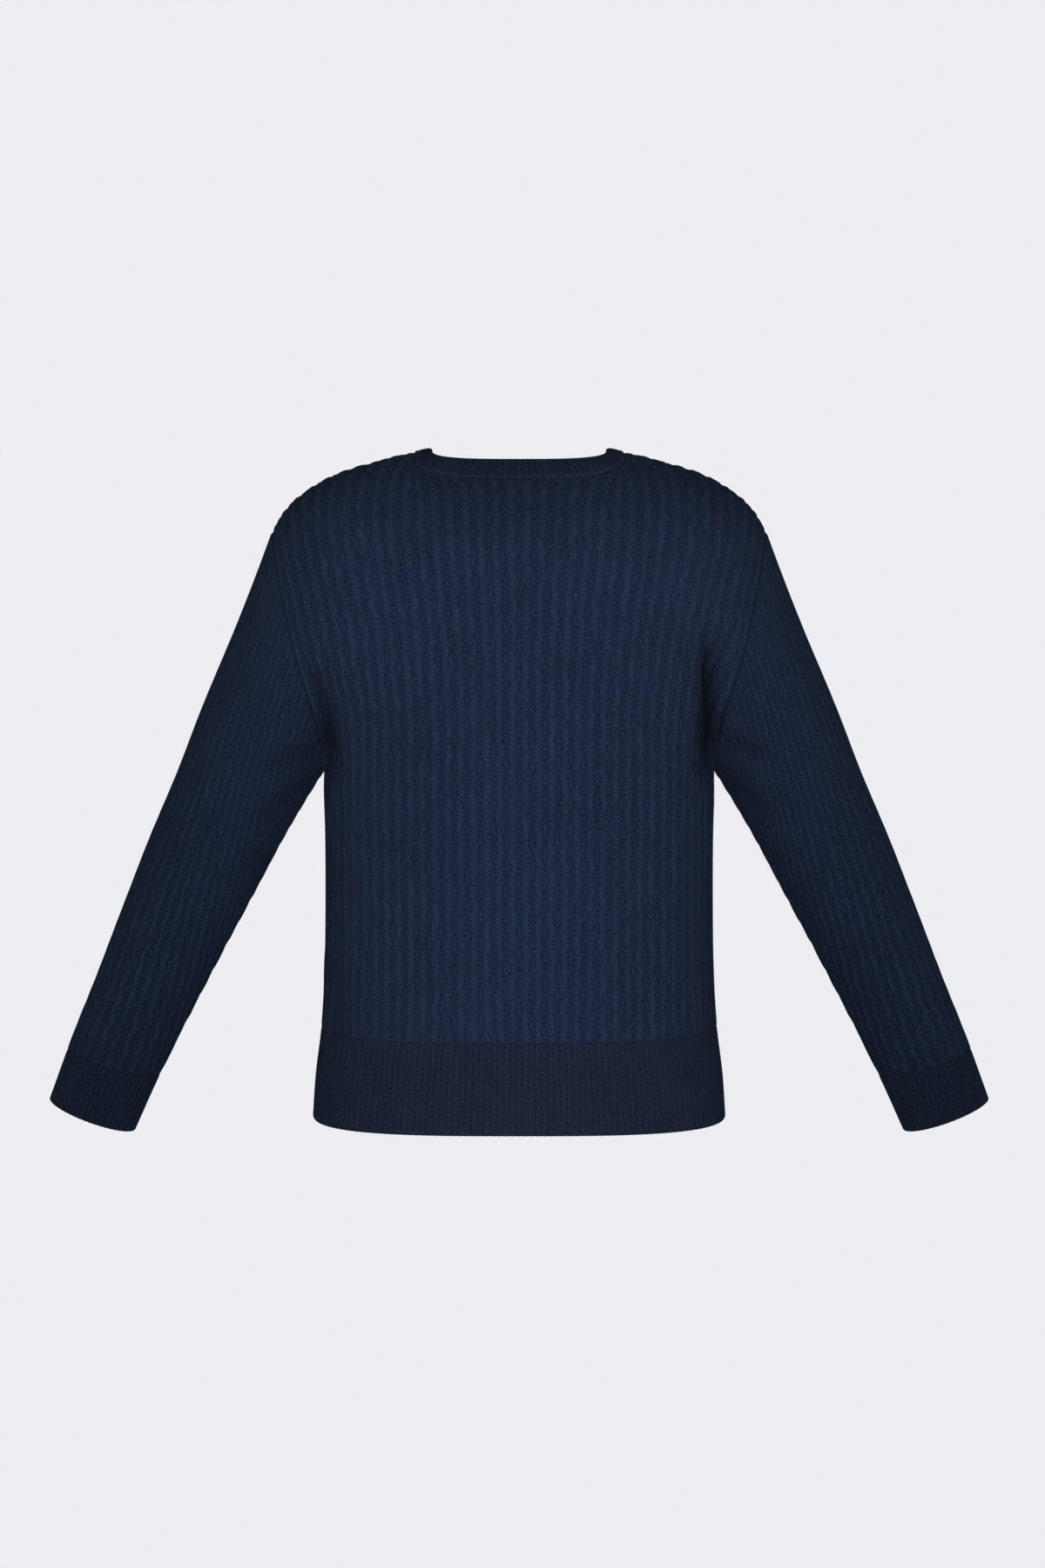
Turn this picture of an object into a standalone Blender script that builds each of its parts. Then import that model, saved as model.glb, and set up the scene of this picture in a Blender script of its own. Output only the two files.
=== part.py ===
"""Crew-neck cardigan in a navy wavy rib knit, hanging hollow as if worn.

Every sewn piece is a closed wall of its own, SEAM apart from its neighbours. The ribs are raised
on the outer face of a wall, and the inner face is plain. The origin is on the line between the
two shoulders, at the level of the neck points: +X is the wearer's left, -Y the front and +Z up.
Lengths are in metres.
"""

from collections import namedtuple
from math import cos, pi, radians, sin

import bmesh
import bpy
import numpy as np
from mathutils import Vector

# Knit
WALL = 0.0022  # thickness between the ribs
SEAM = 0.0003  # gap between two pieces where they are linked
BODY_RIB = 0.0014  # height of the body's ribs, 11 mm apart
WELT_RIB = 0.0008  # height of the hem, cuff and neck ribs, 5 mm apart
INNER_RUN = 4  # outer columns to each column of the plain inner face
PANEL_INNER_RUN = 2  # the same on the panels, whose inner faces follow the creases
SMOOTH_TO = radians(50)  # sharper edges than this stay sharp

# Body
HEM_Z = -0.594
WELT_Z = -0.513  # where the hem rib is linked on
UNDERARM_Z = -0.285
BACK_COLUMNS = 84
FRONT_COLUMNS = 40
BELOW_ROWS = 5
ARMHOLE_ROWS = 8
CROWN_POWER = 1.8  # how the torso leaves the vertical as it rounds over the shoulder
BACK_WELT_COLUMNS = 192
FRONT_WELT_COLUMNS = 88

# Neck
NECK_X = 0.0934  # half-width of the neckline on the shoulder seam
NECK_Z = -0.004
BACK_NECK_DROP = 0.0236
BACK_NECK_POWER = 3.0  # of the neckline's height over its width, 2 for half an ellipse
FRONT_NECK_DROP = 0.084
FRONT_NECK_POWER = 2.2
BACK_NECK_COLUMNS = 18  # columns of the back from its middle to the shoulder seam
FRONT_NECK_COLUMNS = 16
NECK_WARP = 1.25  # draws the columns closer together towards the shoulder seam
BACK_NECK_FADE = 4.0  # how fast the rows level out below the neckline
FRONT_NECK_FADE = 2.0
NECK_SAG_X = 0.098  # half-width of the softer dip that the rows below the neckline have
NECK_SAG_POWER = 4.5
NECK_TAKEN = 12.0  # how fast the rows pass from that dip to the neckline's own
NECK_RIM = (0.3, 0.9, 0.7)  # how far the neckline's rims open to the side, to the front and up
NECKBAND_SEAM = 0.0005  # gap round the neckline's tight curve
NECKBAND_X = 0.078  # the neckband's free edge
NECKBAND_LEAN = 0.90  # depth of that edge as a share of the neckline's
NECKBAND_BACK_DROP = 0.0094
NECKBAND_FRONT_DROP = 0.069
NECKBAND_BULGE = 0.0012
NECKBAND_COLUMNS = 192

# Sleeves
SLEEVE_ANGLE = radians(24.0)  # from straight down
ARMHOLE_DEPTH = 0.070  # half of the armhole, front to back
ARMHOLE_SEAM = 0.0004  # gap across the armhole's slanting seam
ARMHOLE_TOP = 0.15  # angle from the armhole's top where the shoulder seam's rounding takes over
ARMHOLE_STEPS = 40
SLEEVE_COLUMNS = 64
SLEEVE_JOIN = 0.110  # length over which the sleeve takes its own section
CUFF_DOWN = 0.6535  # where the cuff is linked on
CUFF_SLANT = 0.0060  # how much lower than that its seam is on the outside of the arm
SLEEVE_END = 0.7075
END_SLANT = 0.0022
CUFF_COLUMNS = 100

# Front edges
BAND_X = 0.014  # half-width of the button bands, which lie on each other
BAND_COLUMNS = 12
BAND_EDGE = 0.0001  # how far each band's free edge stays inside the width of the two
BUTTON_COUNT = 7
BUTTON_TOP_Z = -0.0785
BUTTON_BOTTOM_Z = -0.568
BUTTON_RADIUS = 0.0075
BUTTON_THICK = 0.0026
BUTTON_SIDES = 20
BUTTON_GAP = 0.0004
BUTTON_FOOT = 0.0067  # radius of its flat back
BUTTON_EDGE_Z = 0.0009  # height of its widest line
BUTTON_LIP = 0.0069  # radius of the raised rim's outer corner
BUTTON_LIP_INNER = 0.0053
BUTTON_DISH = 0.0043  # radius of the sunk middle
BUTTON_DISH_DEEP = 0.0008

# Sections of the torso below the armholes, bottom to top; power is 2 for an ellipse
Torso = namedtuple("Torso", "z half_width back front power")
TORSO = [
    Torso(-0.594, 0.1845, 0.1180, 0.1190, 3.10),
    Torso(-0.560, 0.1822, 0.1170, 0.1185, 2.95),
    Torso(-0.513, 0.1765, 0.1135, 0.1160, 2.80),
    Torso(-0.460, 0.1735, 0.1090, 0.1130, 2.65),
    Torso(-0.400, 0.1725, 0.1060, 0.1120, 2.55),
    Torso(-0.340, 0.1725, 0.1085, 0.1160, 2.60),
    Torso(-0.285, 0.1740, 0.1120, 0.1200, 2.70),
]

# Depth of the torso from the underarm's level up, before it rounds over the shoulder
Chest = namedtuple("Chest", "z back front power")
CHEST = [
    Chest(-0.285, 0.1120, 0.1200, 2.70),
    Chest(-0.272, 0.1130, 0.1208, 2.50),
    Chest(-0.245, 0.1152, 0.1220, 2.20),
    Chest(-0.190, 0.1172, 0.1200, 2.10),
    Chest(-0.140, 0.1180, 0.1165, 2.10),
    Chest(-0.090, 0.1180, 0.1135, 2.10),
    Chest(0.000, 0.1180, 0.1120, 2.10),
]

# How the torso rounds over: height of the rounding, and its shape from a roof (1) to a circle (2)
Crown = namedtuple("Crown", "x back front roundness")
CROWN = [
    Crown(0.000, 0.098, 0.160, 1.25),
    Crown(0.050, 0.098, 0.155, 1.22),
    Crown(0.075, 0.097, 0.145, 1.20),
    Crown(0.095, 0.096, 0.130, 1.24),
    Crown(0.125, 0.092, 0.110, 1.50),
    Crown(0.160, 0.088, 0.095, 1.90),
    Crown(0.218, 0.085, 0.085, 2.00),
]

# The armhole and the shoulder seam, seen from the front
Armhole = namedtuple("Armhole", "z x")
ARMHOLE = [
    Armhole(-0.285, 0.1740),
    Armhole(-0.260, 0.1752),
    Armhole(-0.236, 0.1790),
    Armhole(-0.205, 0.1880),
    Armhole(-0.170, 0.1975),
    Armhole(-0.128, 0.2070),
    Armhole(-0.097, 0.2130),
    Armhole(-0.073, 0.2180),
]
Shoulder = namedtuple("Shoulder", "x z")
SHOULDER = [
    Shoulder(0.0000, -0.0020),
    Shoulder(0.0600, -0.0025),
    Shoulder(0.0934, -0.0040),
    Shoulder(0.1100, -0.0070),
    Shoulder(0.1290, -0.0125),
    Shoulder(0.1520, -0.0190),
    Shoulder(0.1680, -0.0255),
    Shoulder(0.1860, -0.0360),
    Shoulder(0.2040, -0.0510),
    Shoulder(0.2130, -0.0630),
    Shoulder(0.2180, -0.0730),
]

# Sections of the sleeve: "down" runs along its axis from the origin's level and "out" square to it
Sleeve = namedtuple("Sleeve", "down out half_width half_depth forward")
SLEEVE = [
    Sleeve(0.150, 0.1051, 0.0620, 0.0700, 0.000),
    Sleeve(0.250, 0.1054, 0.0600, 0.0670, 0.000),
    Sleeve(0.331, 0.1067, 0.0575, 0.0610, 0.001),
    Sleeve(0.384, 0.1070, 0.0548, 0.0560, 0.002),
    Sleeve(0.450, 0.1086, 0.0525, 0.0515, 0.005),
    Sleeve(0.520, 0.1100, 0.0485, 0.0470, 0.009),
    Sleeve(0.590, 0.1108, 0.0448, 0.0425, 0.014),
    Sleeve(0.650, 0.1115, 0.0425, 0.0390, 0.018),
    Sleeve(0.710, 0.1100, 0.0404, 0.0372, 0.021),
]
SLEEVE_ROWS = (0.0, 0.035, 0.12, 0.24, 0.37, 0.50, 0.64, 0.78, 0.90, 1.0)  # shares of its length

# The largest creases, under the arms: each from one point to another, seen from behind or in front
Fold = namedtuple("Fold", "face x0 z0 x1 z1 wide deep")
FOLDS = [
    Fold("back", -0.160, -0.140, -0.166, -0.315, 0.0140, 0.0075),
    Fold("back", 0.170, -0.165, 0.168, -0.305, 0.0130, 0.0055),
    Fold("front", -0.154, -0.155, -0.163, -0.300, 0.0140, 0.0065),
    Fold("front", 0.160, -0.145, 0.166, -0.310, 0.0135, 0.0070),
]
FOLD_FADE = 0.016  # distance from a seam over which a crease dies away

DOWN = np.array([sin(SLEEVE_ANGLE), 0.0, -cos(SLEEVE_ANGLE)])
OUT = np.array([cos(SLEEVE_ANGLE), 0.0, sin(SLEEVE_ANGLE)])
BACKWARD = np.array([0.0, 1.0, 0.0])


def curve(table, key, value, at):
    """A table's column as a smooth curve over another one."""
    x = np.array([getattr(row, key) for row in table])
    y = np.array([getattr(row, value) for row in table])
    slope = np.gradient(y, x)
    i = np.clip(np.searchsorted(x, at) - 1, 0, len(x) - 2)
    step = x[i + 1] - x[i]
    t = np.clip((at - x[i]) / step, 0.0, 1.0)
    rise = y[i + 1] - y[i]
    start = slope[i] * step - rise
    end = rise - slope[i + 1] * step
    return y[i] + t * rise + t * (1 - t) * ((1 - t) * start + t * end)


def unit(vectors):
    return vectors / np.linalg.norm(vectors, axis=-1, keepdims=True)


def flattened(vectors, axis):
    """Directions laid into the plane square to an axis."""
    flat = np.array(vectors)
    flat[..., axis] = 0.0
    return unit(flat)


def lengths(points, axis):
    """Distance travelled along one axis of a grid."""
    step = np.linalg.norm(np.diff(points, axis=axis), axis=-1)
    run = np.cumsum(step, axis=axis)
    return np.concatenate([np.zeros_like(run.take([0], axis=axis)), run], axis=axis)


def inward_normals(points, closed=False):
    """Directions into the garment at the points of a grid of columns and rows."""
    if closed:
        wrapped = np.concatenate([points[-2:-1], points, points[1:2]])
        across = np.gradient(wrapped, axis=0)[1:-1]
    else:
        across = np.gradient(points, axis=0)
    return unit(np.cross(across, np.gradient(points, axis=1)))


# ---------------------------------------------------------------- shape of the torso


def bow(share, power):
    """How far a section has come round, from 1 in the middle to 0 at its side."""
    return (1.0 - np.clip(share, 0.0, 1.0) ** power) ** (1.0 / power)


def crown(x, z, face):
    """Share of the torso's depth that is left where it rounds over the shoulder."""
    below = curve(SHOULDER, "x", "z", x) - z
    down = np.clip(below / curve(CROWN, "x", face, x), 0.0, 1.0)
    roundness = curve(CROWN, "x", "roundness", x)
    return (1.0 - (1.0 - down) ** CROWN_POWER) ** (1.0 / roundness)


def armhole_point(turn):
    """Armhole seam at an angle from its top, seen along the sleeve."""
    table = np.array([[row.x, 0.0, row.z] for row in ARMHOLE])
    out = table @ OUT
    z = np.interp((out[-1] + out[0]) / 2 + (out[-1] - out[0]) / 2 * cos(turn), out, table[:, 2])
    return float(curve(ARMHOLE, "z", "x", z)), ARMHOLE_DEPTH * sin(turn), float(z)


def chest_widths(face):
    """Heights in the armhole, and the half-widths there of the torso sections that it cuts."""
    heights = []
    widths = []
    for turn in np.linspace(pi, ARMHOLE_TOP, ARMHOLE_STEPS):
        x, y, z = armhole_point(turn)
        share = y / (curve(CHEST, "z", face, z) * crown(x, z, face))
        heights.append(z)
        widths.append(x / bow(share, curve(CHEST, "z", "power", z)))
    return heights, widths


def torso_depth(x, z, face):
    """Distance of the back or front from the middle of the garment."""
    below = z < UNDERARM_Z
    heights, widths = CHEST_WIDTHS[face]
    half_width = np.where(below, curve(TORSO, "z", "half_width", z), np.interp(z, heights, widths))
    depth = np.where(below, curve(TORSO, "z", face, z), curve(CHEST, "z", face, z))
    power = np.where(below, curve(TORSO, "z", "power", z), curve(CHEST, "z", "power", z))
    return np.maximum(depth * bow(x / half_width, power) * crown(x, z, face), SEAM / 2)


def even_x(half_width, z, face, first_x, steps):
    """Places from first_x to the side that are evenly spaced along a level section."""
    x = half_width * np.sin(np.linspace(0.0, pi / 2, 181))
    y = torso_depth(x, np.full(len(x), z), face)
    run = np.concatenate([[0.0], np.cumsum(np.hypot(np.diff(x), np.diff(y)))])
    start = np.interp(first_x, x, run)
    return np.interp(start + (run[-1] - start) * steps, run, x)


def top_edge(first_x, neck_share, steps, face):
    """Upper edge of a panel: neckline first, then the shoulder seam."""
    inside = np.clip(steps / neck_share, 0.0, 1.0)
    outside = np.clip((steps - neck_share) / (1.0 - neck_share), 0.0, 1.0)
    x = first_x + (NECK_X - first_x) * (1.0 - (1.0 - inside) ** NECK_WARP)
    x = x + (SHOULDER[-1].x - NECK_X) * outside
    drop = BACK_NECK_DROP if face == "back" else FRONT_NECK_DROP
    power = BACK_NECK_POWER if face == "back" else FRONT_NECK_POWER
    fall = (1.0 - np.clip(x / NECK_X, 0.0, 1.0) ** power) ** (1.0 / power)
    return x, np.where(outside > 0.0, curve(SHOULDER, "x", "z", x), NECK_Z - drop * fall)


def neck_dip(x, own, up, face):
    """How far a row lies below the shoulder's line, where the neckline itself does so by own."""
    drop = BACK_NECK_DROP if face == "back" else FRONT_NECK_DROP
    fade = BACK_NECK_FADE if face == "back" else FRONT_NECK_FADE
    sag = drop / (1.0 + (x / NECK_SAG_X) ** NECK_SAG_POWER) * (1.0 - (x / SHOULDER[-1].x) ** 2)
    taken = up**NECK_TAKEN
    return up**fade * (own * taken + sag * (1.0 - taken))


def torso_row(z, face, first_x, steps):
    """One level section of the torso below the armholes."""
    half_width = float(curve(TORSO, "z", "half_width", z))
    heights = np.full(len(steps), z)
    x = even_x(half_width, z, face, first_x, steps)
    return np.stack([x, torso_depth(x, heights, face), heights], axis=1)


def half_panel(face, first_x, neck_share, steps):
    """Points of half the back, or of a front, from the middle to the side and from rib to shoulder."""
    rows = []
    for z in np.linspace(WELT_Z + SEAM / 2, UNDERARM_Z, BELOW_ROWS + 1)[:-1]:
        rows.append(torso_row(z, face, first_x, steps))
    top_x, top_z = top_edge(first_x, neck_share, steps, face)
    ridge = curve(SHOULDER, "x", "z", top_x)
    tip = SHOULDER[-1]
    for turn in np.linspace(pi, 0.0, ARMHOLE_ROWS + 1):
        side_x, side_y, side_z = armhole_point(turn)
        up = (side_z - UNDERARM_Z) / (tip.z - UNDERARM_Z)
        x = even_x(side_x, side_z, face, first_x, steps)
        straight = first_x + (top_x - first_x) * (side_x - first_x) / (tip.x - first_x)
        x = x + (straight - x) * up**2
        z = UNDERARM_Z + up * (ridge - UNDERARM_Z) - neck_dip(x, ridge - top_z, up, face)
        row = np.stack([x, torso_depth(x, z, face), z], axis=1)
        row[-1] = side_x, max(side_y, SEAM / 2), side_z
        rows.append(row)
    return np.stack(rows, axis=1) * [1.0, 1.0 if face == "back" else -1.0, 1.0]


def both_halves(half):
    """A whole back from its left half."""
    other = half[:0:-1] * [-1.0, 1.0, 1.0]
    return np.concatenate([other, half])


def neckline_inward(points):
    """Directions that the neckline's two rims share, into the garment."""
    depth = np.where(points[..., 1] > 0, BACK_NECK_Y, FRONT_NECK_Y)
    side, ahead, up = NECK_RIM
    lean = [side * points[..., 0] / NECK_X, ahead * points[..., 1] / depth, np.full(depth.shape, up)]
    return -unit(np.stack(lean, axis=-1))


def neckband_edge(line):
    """The neckband's free edge over points of the neckline."""
    x, y, z = line.T
    narrowed = BAND_X + (np.abs(x) - BAND_X) * (NECKBAND_X - BAND_X) / (NECK_X - BAND_X)
    edge_x = np.where(y > 0, x * NECKBAND_X / NECK_X, np.sign(x) * narrowed)
    back = (NECK_Z - z) / BACK_NECK_DROP
    front = (NECK_Z - z) / FRONT_NECK_DROP
    edge_z = -np.where(y > 0, NECKBAND_BACK_DROP * back, NECKBAND_FRONT_DROP * front)
    return np.stack([edge_x, y * NECKBAND_LEAN, edge_z], axis=1)


def armhole_inward(points):
    """Directions that the armhole's two rims share, towards the middle of the armhole."""
    middle = np.array([(ARMHOLE[0].x + ARMHOLE[-1].x) / 2, 0.0, (ARMHOLE[0].z + ARMHOLE[-1].z) / 2])
    away = np.array(points)
    away[..., 0] = np.abs(away[..., 0])
    lean = unit(middle - away)
    lean[..., 0] *= np.sign(points[..., 0])
    return lean


def panel_inward(points):
    """Directions into the garment, with each seam's rim turned into the seam."""
    inward = inward_normals(points)
    middle = inward[inward.shape[0] // 2, 1]
    if np.sign(middle[1]) == np.sign(points[inward.shape[0] // 2, 1][1]):
        inward = -inward
    inward[:, 0] = flattened(inward[:, 0], 2)
    on_neck = np.abs(points[:, -1, 0]) <= NECK_X + 1e-6
    inward[:, -1] = np.where(
        on_neck[:, None], neckline_inward(points[:, -1]), flattened(inward[:, -1], 1)
    )
    for column in (0, -1):
        if abs(points[column, 0, 0]) > BAND_X + 0.001:
            inward[column, :BELOW_ROWS] = flattened(inward[column, :BELOW_ROWS], 1)
            inward[column, BELOW_ROWS:] = armhole_inward(points[column, BELOW_ROWS:])
        else:
            inward[column, :-1] = flattened(inward[column, :-1], 0)
    return inward


def trough(points, fold):
    """Depth of a soft crease at points, from 0 to 1."""
    run_x, run_z = fold.x1 - fold.x0, fold.z1 - fold.z0
    off_x, off_z = points[..., 0] - fold.x0, points[..., 2] - fold.z0
    share = np.clip((off_x * run_x + off_z * run_z) / (run_x**2 + run_z**2), 0.0, 1.0)
    off = np.hypot(off_x - share * run_x, off_z - share * run_z)
    return np.exp(-((off / fold.wide) ** 2)) * np.sin(pi * share) ** 0.6


def creased(points, face):
    """A panel's points pressed in along its creases, which die away before its side seams."""
    run = lengths(points, 0)
    fade = np.clip(np.minimum(run, run[-1] - run) / FOLD_FADE, 0.0, 1.0)
    pressed = sum(fold.deep * trough(points, fold) for fold in FOLDS if fold.face == face)
    return points + panel_inward(points) * (pressed * fade * fade)[..., None]


# ---------------------------------------------------------------- shape of a sleeve


def tube(turn, down):
    """Outer face of the left sleeve at an angle from its top and a distance down."""
    across = curve(SLEEVE, "down", "out", down)
    across = across + curve(SLEEVE, "down", "half_width", down) * np.cos(turn)
    back = curve(SLEEVE, "down", "half_depth", down) * np.sin(turn)
    back = back - curve(SLEEVE, "down", "forward", down)
    return DOWN * down + OUT * across + BACKWARD * back


def slanted(down, slant, turn):
    """Distance down the sleeve of a ring that is lower on the outside of the arm."""
    return down + slant * cos(turn)


def armhole_loop():
    """The armhole's corner points as the panels have them, from the top round by the back."""
    loop = []
    for turn in np.linspace(0.0, 2 * pi, 2 * ARMHOLE_ROWS + 1):
        x, y, z = armhole_point(turn if turn <= pi else 2 * pi - turn)
        loop.append([x, y if turn <= pi else -y, z])
    return np.array(loop)


def sleeve_points():
    """Points of the left sleeve in columns round it, from the armhole to the cuff."""
    corners = armhole_loop()
    run = SLEEVE_COLUMNS // (len(corners) - 1)
    columns = []
    for i in range(SLEEVE_COLUMNS + 1):
        corner, part = divmod(i, run)
        start = corners[corner]
        if part:
            start = start + (corners[corner + 1] - start) * part / run
        start = start + [ARMHOLE_SEAM, 0.0, 0.0]
        turn = 2 * pi * i / SLEEVE_COLUMNS
        first = float(start @ DOWN)
        lift = start - tube(turn, first)
        column = []
        for share in SLEEVE_ROWS:
            down = first + (slanted(CUFF_DOWN, CUFF_SLANT, turn) - SEAM / 2 - first) * share
            fade = max(0.0, 1.0 - (down - first) / SLEEVE_JOIN) ** 2
            column.append(tube(turn, down) + lift * fade)
        columns.append(column)
    return np.array(columns)


def cuff_points():
    """Points of the left cuff in columns round it."""
    columns = []
    for turn in np.linspace(0.0, 2 * pi, CUFF_COLUMNS + 1):
        seam = slanted(CUFF_DOWN, CUFF_SLANT, turn) + SEAM / 2
        columns.append([tube(turn, seam), tube(turn, slanted(SLEEVE_END, END_SLANT, turn))])
    return np.array(columns)


def tube_inward(points, at_armhole):
    """Directions into a sleeve or cuff, with each end's rim turned into its seam."""
    inward = inward_normals(points, closed=True)
    middle = points[:-1].mean(axis=0)
    if np.sum(inward[0, -1] * (middle[-1] - points[0, -1])) < 0:
        inward = -inward
    inward[:, -1] = unit(inward[:, -1] - DOWN * (inward[:, -1] @ DOWN)[:, None])
    if at_armhole:
        inward[:, 0] = armhole_inward(points[:, 0])
    else:
        inward[:, 0] = unit(inward[:, 0] - DOWN * (inward[:, 0] @ DOWN)[:, None])
    return inward


# ---------------------------------------------------------------- solids


def grid(mesh, points):
    """A grid of faces through the points, and its vertices in columns."""
    columns = points.shape[0] - 1
    rows = points.shape[1] - 1
    made = bmesh.ops.create_grid(mesh, x_segments=columns, y_segments=rows, size=0.5)
    places = [[None] * (rows + 1) for _ in range(columns + 1)]
    for vertex in made["verts"]:
        column = round((vertex.co.x + 0.5) * columns)
        places[column][round((vertex.co.y + 0.5) * rows)] = vertex
    for column, vertices in enumerate(places):
        for row, vertex in enumerate(vertices):
            vertex.co = points[column, row]
    return places


def rim(mesh, outer, inner):
    """Faces from an outer edge to an inner one with fewer points."""
    run = (len(outer) - 1) // (len(inner) - 1)
    for i in range(len(inner) - 1):
        mesh.faces.new(outer[i * run : (i + 1) * run + 1] + [inner[i + 1], inner[i]])


def row_of(places, row):
    return [column[row] for column in places]


def add_wall(name, points, inward, ribs, finish, closed=False, lip=False):
    """A closed wall through a grid of points: ribbed outside, plain inside.

    With a lip, the inner face keeps every column along its upper edge, where that edge is curved.
    """
    run = PANEL_INNER_RUN if lip else INNER_RUN
    mesh = bmesh.new()
    outer = grid(mesh, points - inward * ribs[..., None])
    inner_points = points + inward * WALL
    inner = grid(mesh, inner_points[::run, : -1 if lip else None])
    rim(mesh, row_of(outer, 0), row_of(inner, 0))
    if lip:
        edge = [mesh.verts.new(place) for place in inner_points[:, -1]]
        rim(mesh, edge, row_of(inner, -1))
        rim(mesh, row_of(outer, -1), edge)
        for column in range(len(inner)):
            inner[column].append(edge[column * run])
    else:
        rim(mesh, row_of(outer, -1), row_of(inner, -1))
    if closed:
        bmesh.ops.remove_doubles(mesh, verts=mesh.verts, dist=1e-6)
    else:
        for column in (0, -1):
            rim(mesh, outer[column], inner[column])
    bmesh.ops.recalc_face_normals(mesh, faces=mesh.faces)
    return add_object(name, mesh, finish)


def add_object(name, mesh, finish):
    data = bpy.data.meshes.new(name)
    mesh.to_mesh(data)
    mesh.free()
    data.shade_smooth()
    data.set_sharp_from_angle(angle=SMOOTH_TO)
    data.materials.append(finish)
    made = bpy.data.objects.new(name, data)
    parts.objects.link(made)
    return made


def ribs_on(points, height, flat_rows=(), flat_columns=()):
    """Rib heights over a grid: every second column is raised, save on the seams named."""
    ribs = np.zeros(points.shape[:2])
    ribs[1::2] = height
    for row in flat_rows:
        ribs[:, row] = 0.0
    for column in flat_columns:
        ribs[column] = 0.0
    return ribs


def mirrored(points):
    return points * [-1.0, 1.0, 1.0]


def finish_of(name, colour, roughness):
    """A plain material."""
    made = bpy.data.materials.new(name)
    made.use_nodes = True
    surface = made.node_tree.nodes["Principled BSDF"]
    surface.inputs["Base Color"].default_value = (*colour, 1.0)
    surface.inputs["Roughness"].default_value = roughness
    return made


def add_back(knit, rib):
    """The back and its hem rib. Returns the back's points."""
    steps = np.linspace(0.0, 1.0, BACK_COLUMNS // 2 + 1)
    half = half_panel("back", 0.0, 2 * BACK_NECK_COLUMNS / BACK_COLUMNS, steps)
    points = creased(both_halves(half), "back")
    ribs = ribs_on(points, BODY_RIB, (-1,))
    add_wall("back", points, panel_inward(points), ribs, knit, lip=True)
    add_welt("hem_back", "back", 0.0, BACK_WELT_COLUMNS // 2, rib)
    return points


def add_front(side, knit, rib):
    """One front and its hem rib, mirrored for the wearer's right. Returns the left front's points."""
    steps = np.linspace(0.0, 1.0, FRONT_COLUMNS + 1)
    half = half_panel("front", BAND_X, FRONT_NECK_COLUMNS / FRONT_COLUMNS, steps)
    points = creased(half if side == "left" else mirrored(half), "front")
    ribs = ribs_on(points, BODY_RIB, (-1,))
    add_wall(f"front_{side}", points, panel_inward(points), ribs, knit, lip=True)
    add_welt(f"hem_front_{side}", "front", BAND_X, FRONT_WELT_COLUMNS, rib)
    return half


def welt_points(face, first_x, count):
    """Points of half a hem rib, from the middle to the side seam and from the hem up."""
    steps = np.linspace(0.0, 1.0, count + 1)
    rows = [torso_row(z, face, first_x, steps) for z in (HEM_Z, WELT_Z - SEAM / 2)]
    return np.stack(rows, axis=1) * [1.0, 1.0 if face == "back" else -1.0, 1.0]


def add_welt(name, face, first_x, count, rib):
    points = welt_points(face, first_x, count)
    if face == "back":
        points = both_halves(points)
    if name.endswith("right"):
        points = mirrored(points)
    inward = inward_normals(points)
    if np.sign(inward[1, 0, 1]) == np.sign(points[1, 0, 1]):
        inward = -inward
    inward = flattened(inward, 2)
    for column in (0, -1):
        axis = 1 if abs(points[column, 0, 0]) > BAND_X + 0.001 else 0
        inward[column] = flattened(inward[column], axis)
    add_wall(name, points, inward, ribs_on(points, WELT_RIB), rib)


def add_sleeve(side, knit, rib):
    """One sleeve and its cuff."""
    for name, points, at_armhole in (
        (f"sleeve_{side}", sleeve_points(), True),
        (f"cuff_{side}", cuff_points(), False),
    ):
        height = BODY_RIB if at_armhole else WELT_RIB
        flat_rows = (0,) if at_armhole else ()
        inward = tube_inward(points, at_armhole)
        if side == "right":
            points = mirrored(points)
            inward = mirrored(inward)
        ribs = ribs_on(points, height, flat_rows)
        add_wall(name, points, inward, ribs, knit if at_armhole else rib, closed=True)


def along(points, count):
    """Points evenly spaced along a line of straight runs."""
    run = np.concatenate([[0.0], np.cumsum(np.linalg.norm(np.diff(points, axis=0), axis=1))])
    at = np.linspace(0.0, run[-1], count + 1)
    return np.stack([np.interp(at, run, points[:, axis]) for axis in range(3)], axis=1)


def neckband_points(back_panel, left_front):
    """Points of the neckband from the left front edge round by the back, and from neckline up."""
    front = left_front[np.abs(left_front[:, -1, 0]) <= NECK_X + 1e-6, -1]
    back = back_panel[np.abs(back_panel[:, -1, 0]) <= NECK_X + 1e-6, -1][::-1]
    neck = np.concatenate([front[:-1], back, mirrored(front[-2::-1])])
    line = along(neck, NECKBAND_COLUMNS)
    edge = neckband_edge(line)
    start = line + unit(edge - line) * NECKBAND_SEAM
    outward = -neckline_inward(line)
    return np.stack([start, (start + edge) / 2 + outward * NECKBAND_BULGE, edge], axis=1)


def add_neckband(back_panel, left_front, rib):
    points = neckband_points(back_panel, left_front)
    inward = inward_normals(points)
    if inward[NECKBAND_COLUMNS // 2, 1, 1] > 0:
        inward = -inward
    inward[:, 0] = neckline_inward(points[:, 0])
    inward[[0, -1]] = flattened(inward[[0, -1]], 0)
    add_wall("neckband", points, inward, ribs_on(points, WELT_RIB, (0,)), rib)
    return points


def band_line(left_front, neckband):
    """Middle of the front, from the hem up over the neckband, and its directions forward."""
    welt = welt_points("front", BAND_X, FRONT_WELT_COLUMNS)[0]
    line = np.concatenate([welt[:1], left_front[0], neckband[0, 1:]])[:, 1:]
    rise = unit(np.gradient(line, axis=0))
    forward = np.stack([-rise[:, 1], rise[:, 0]], axis=1)
    return line, forward


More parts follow.
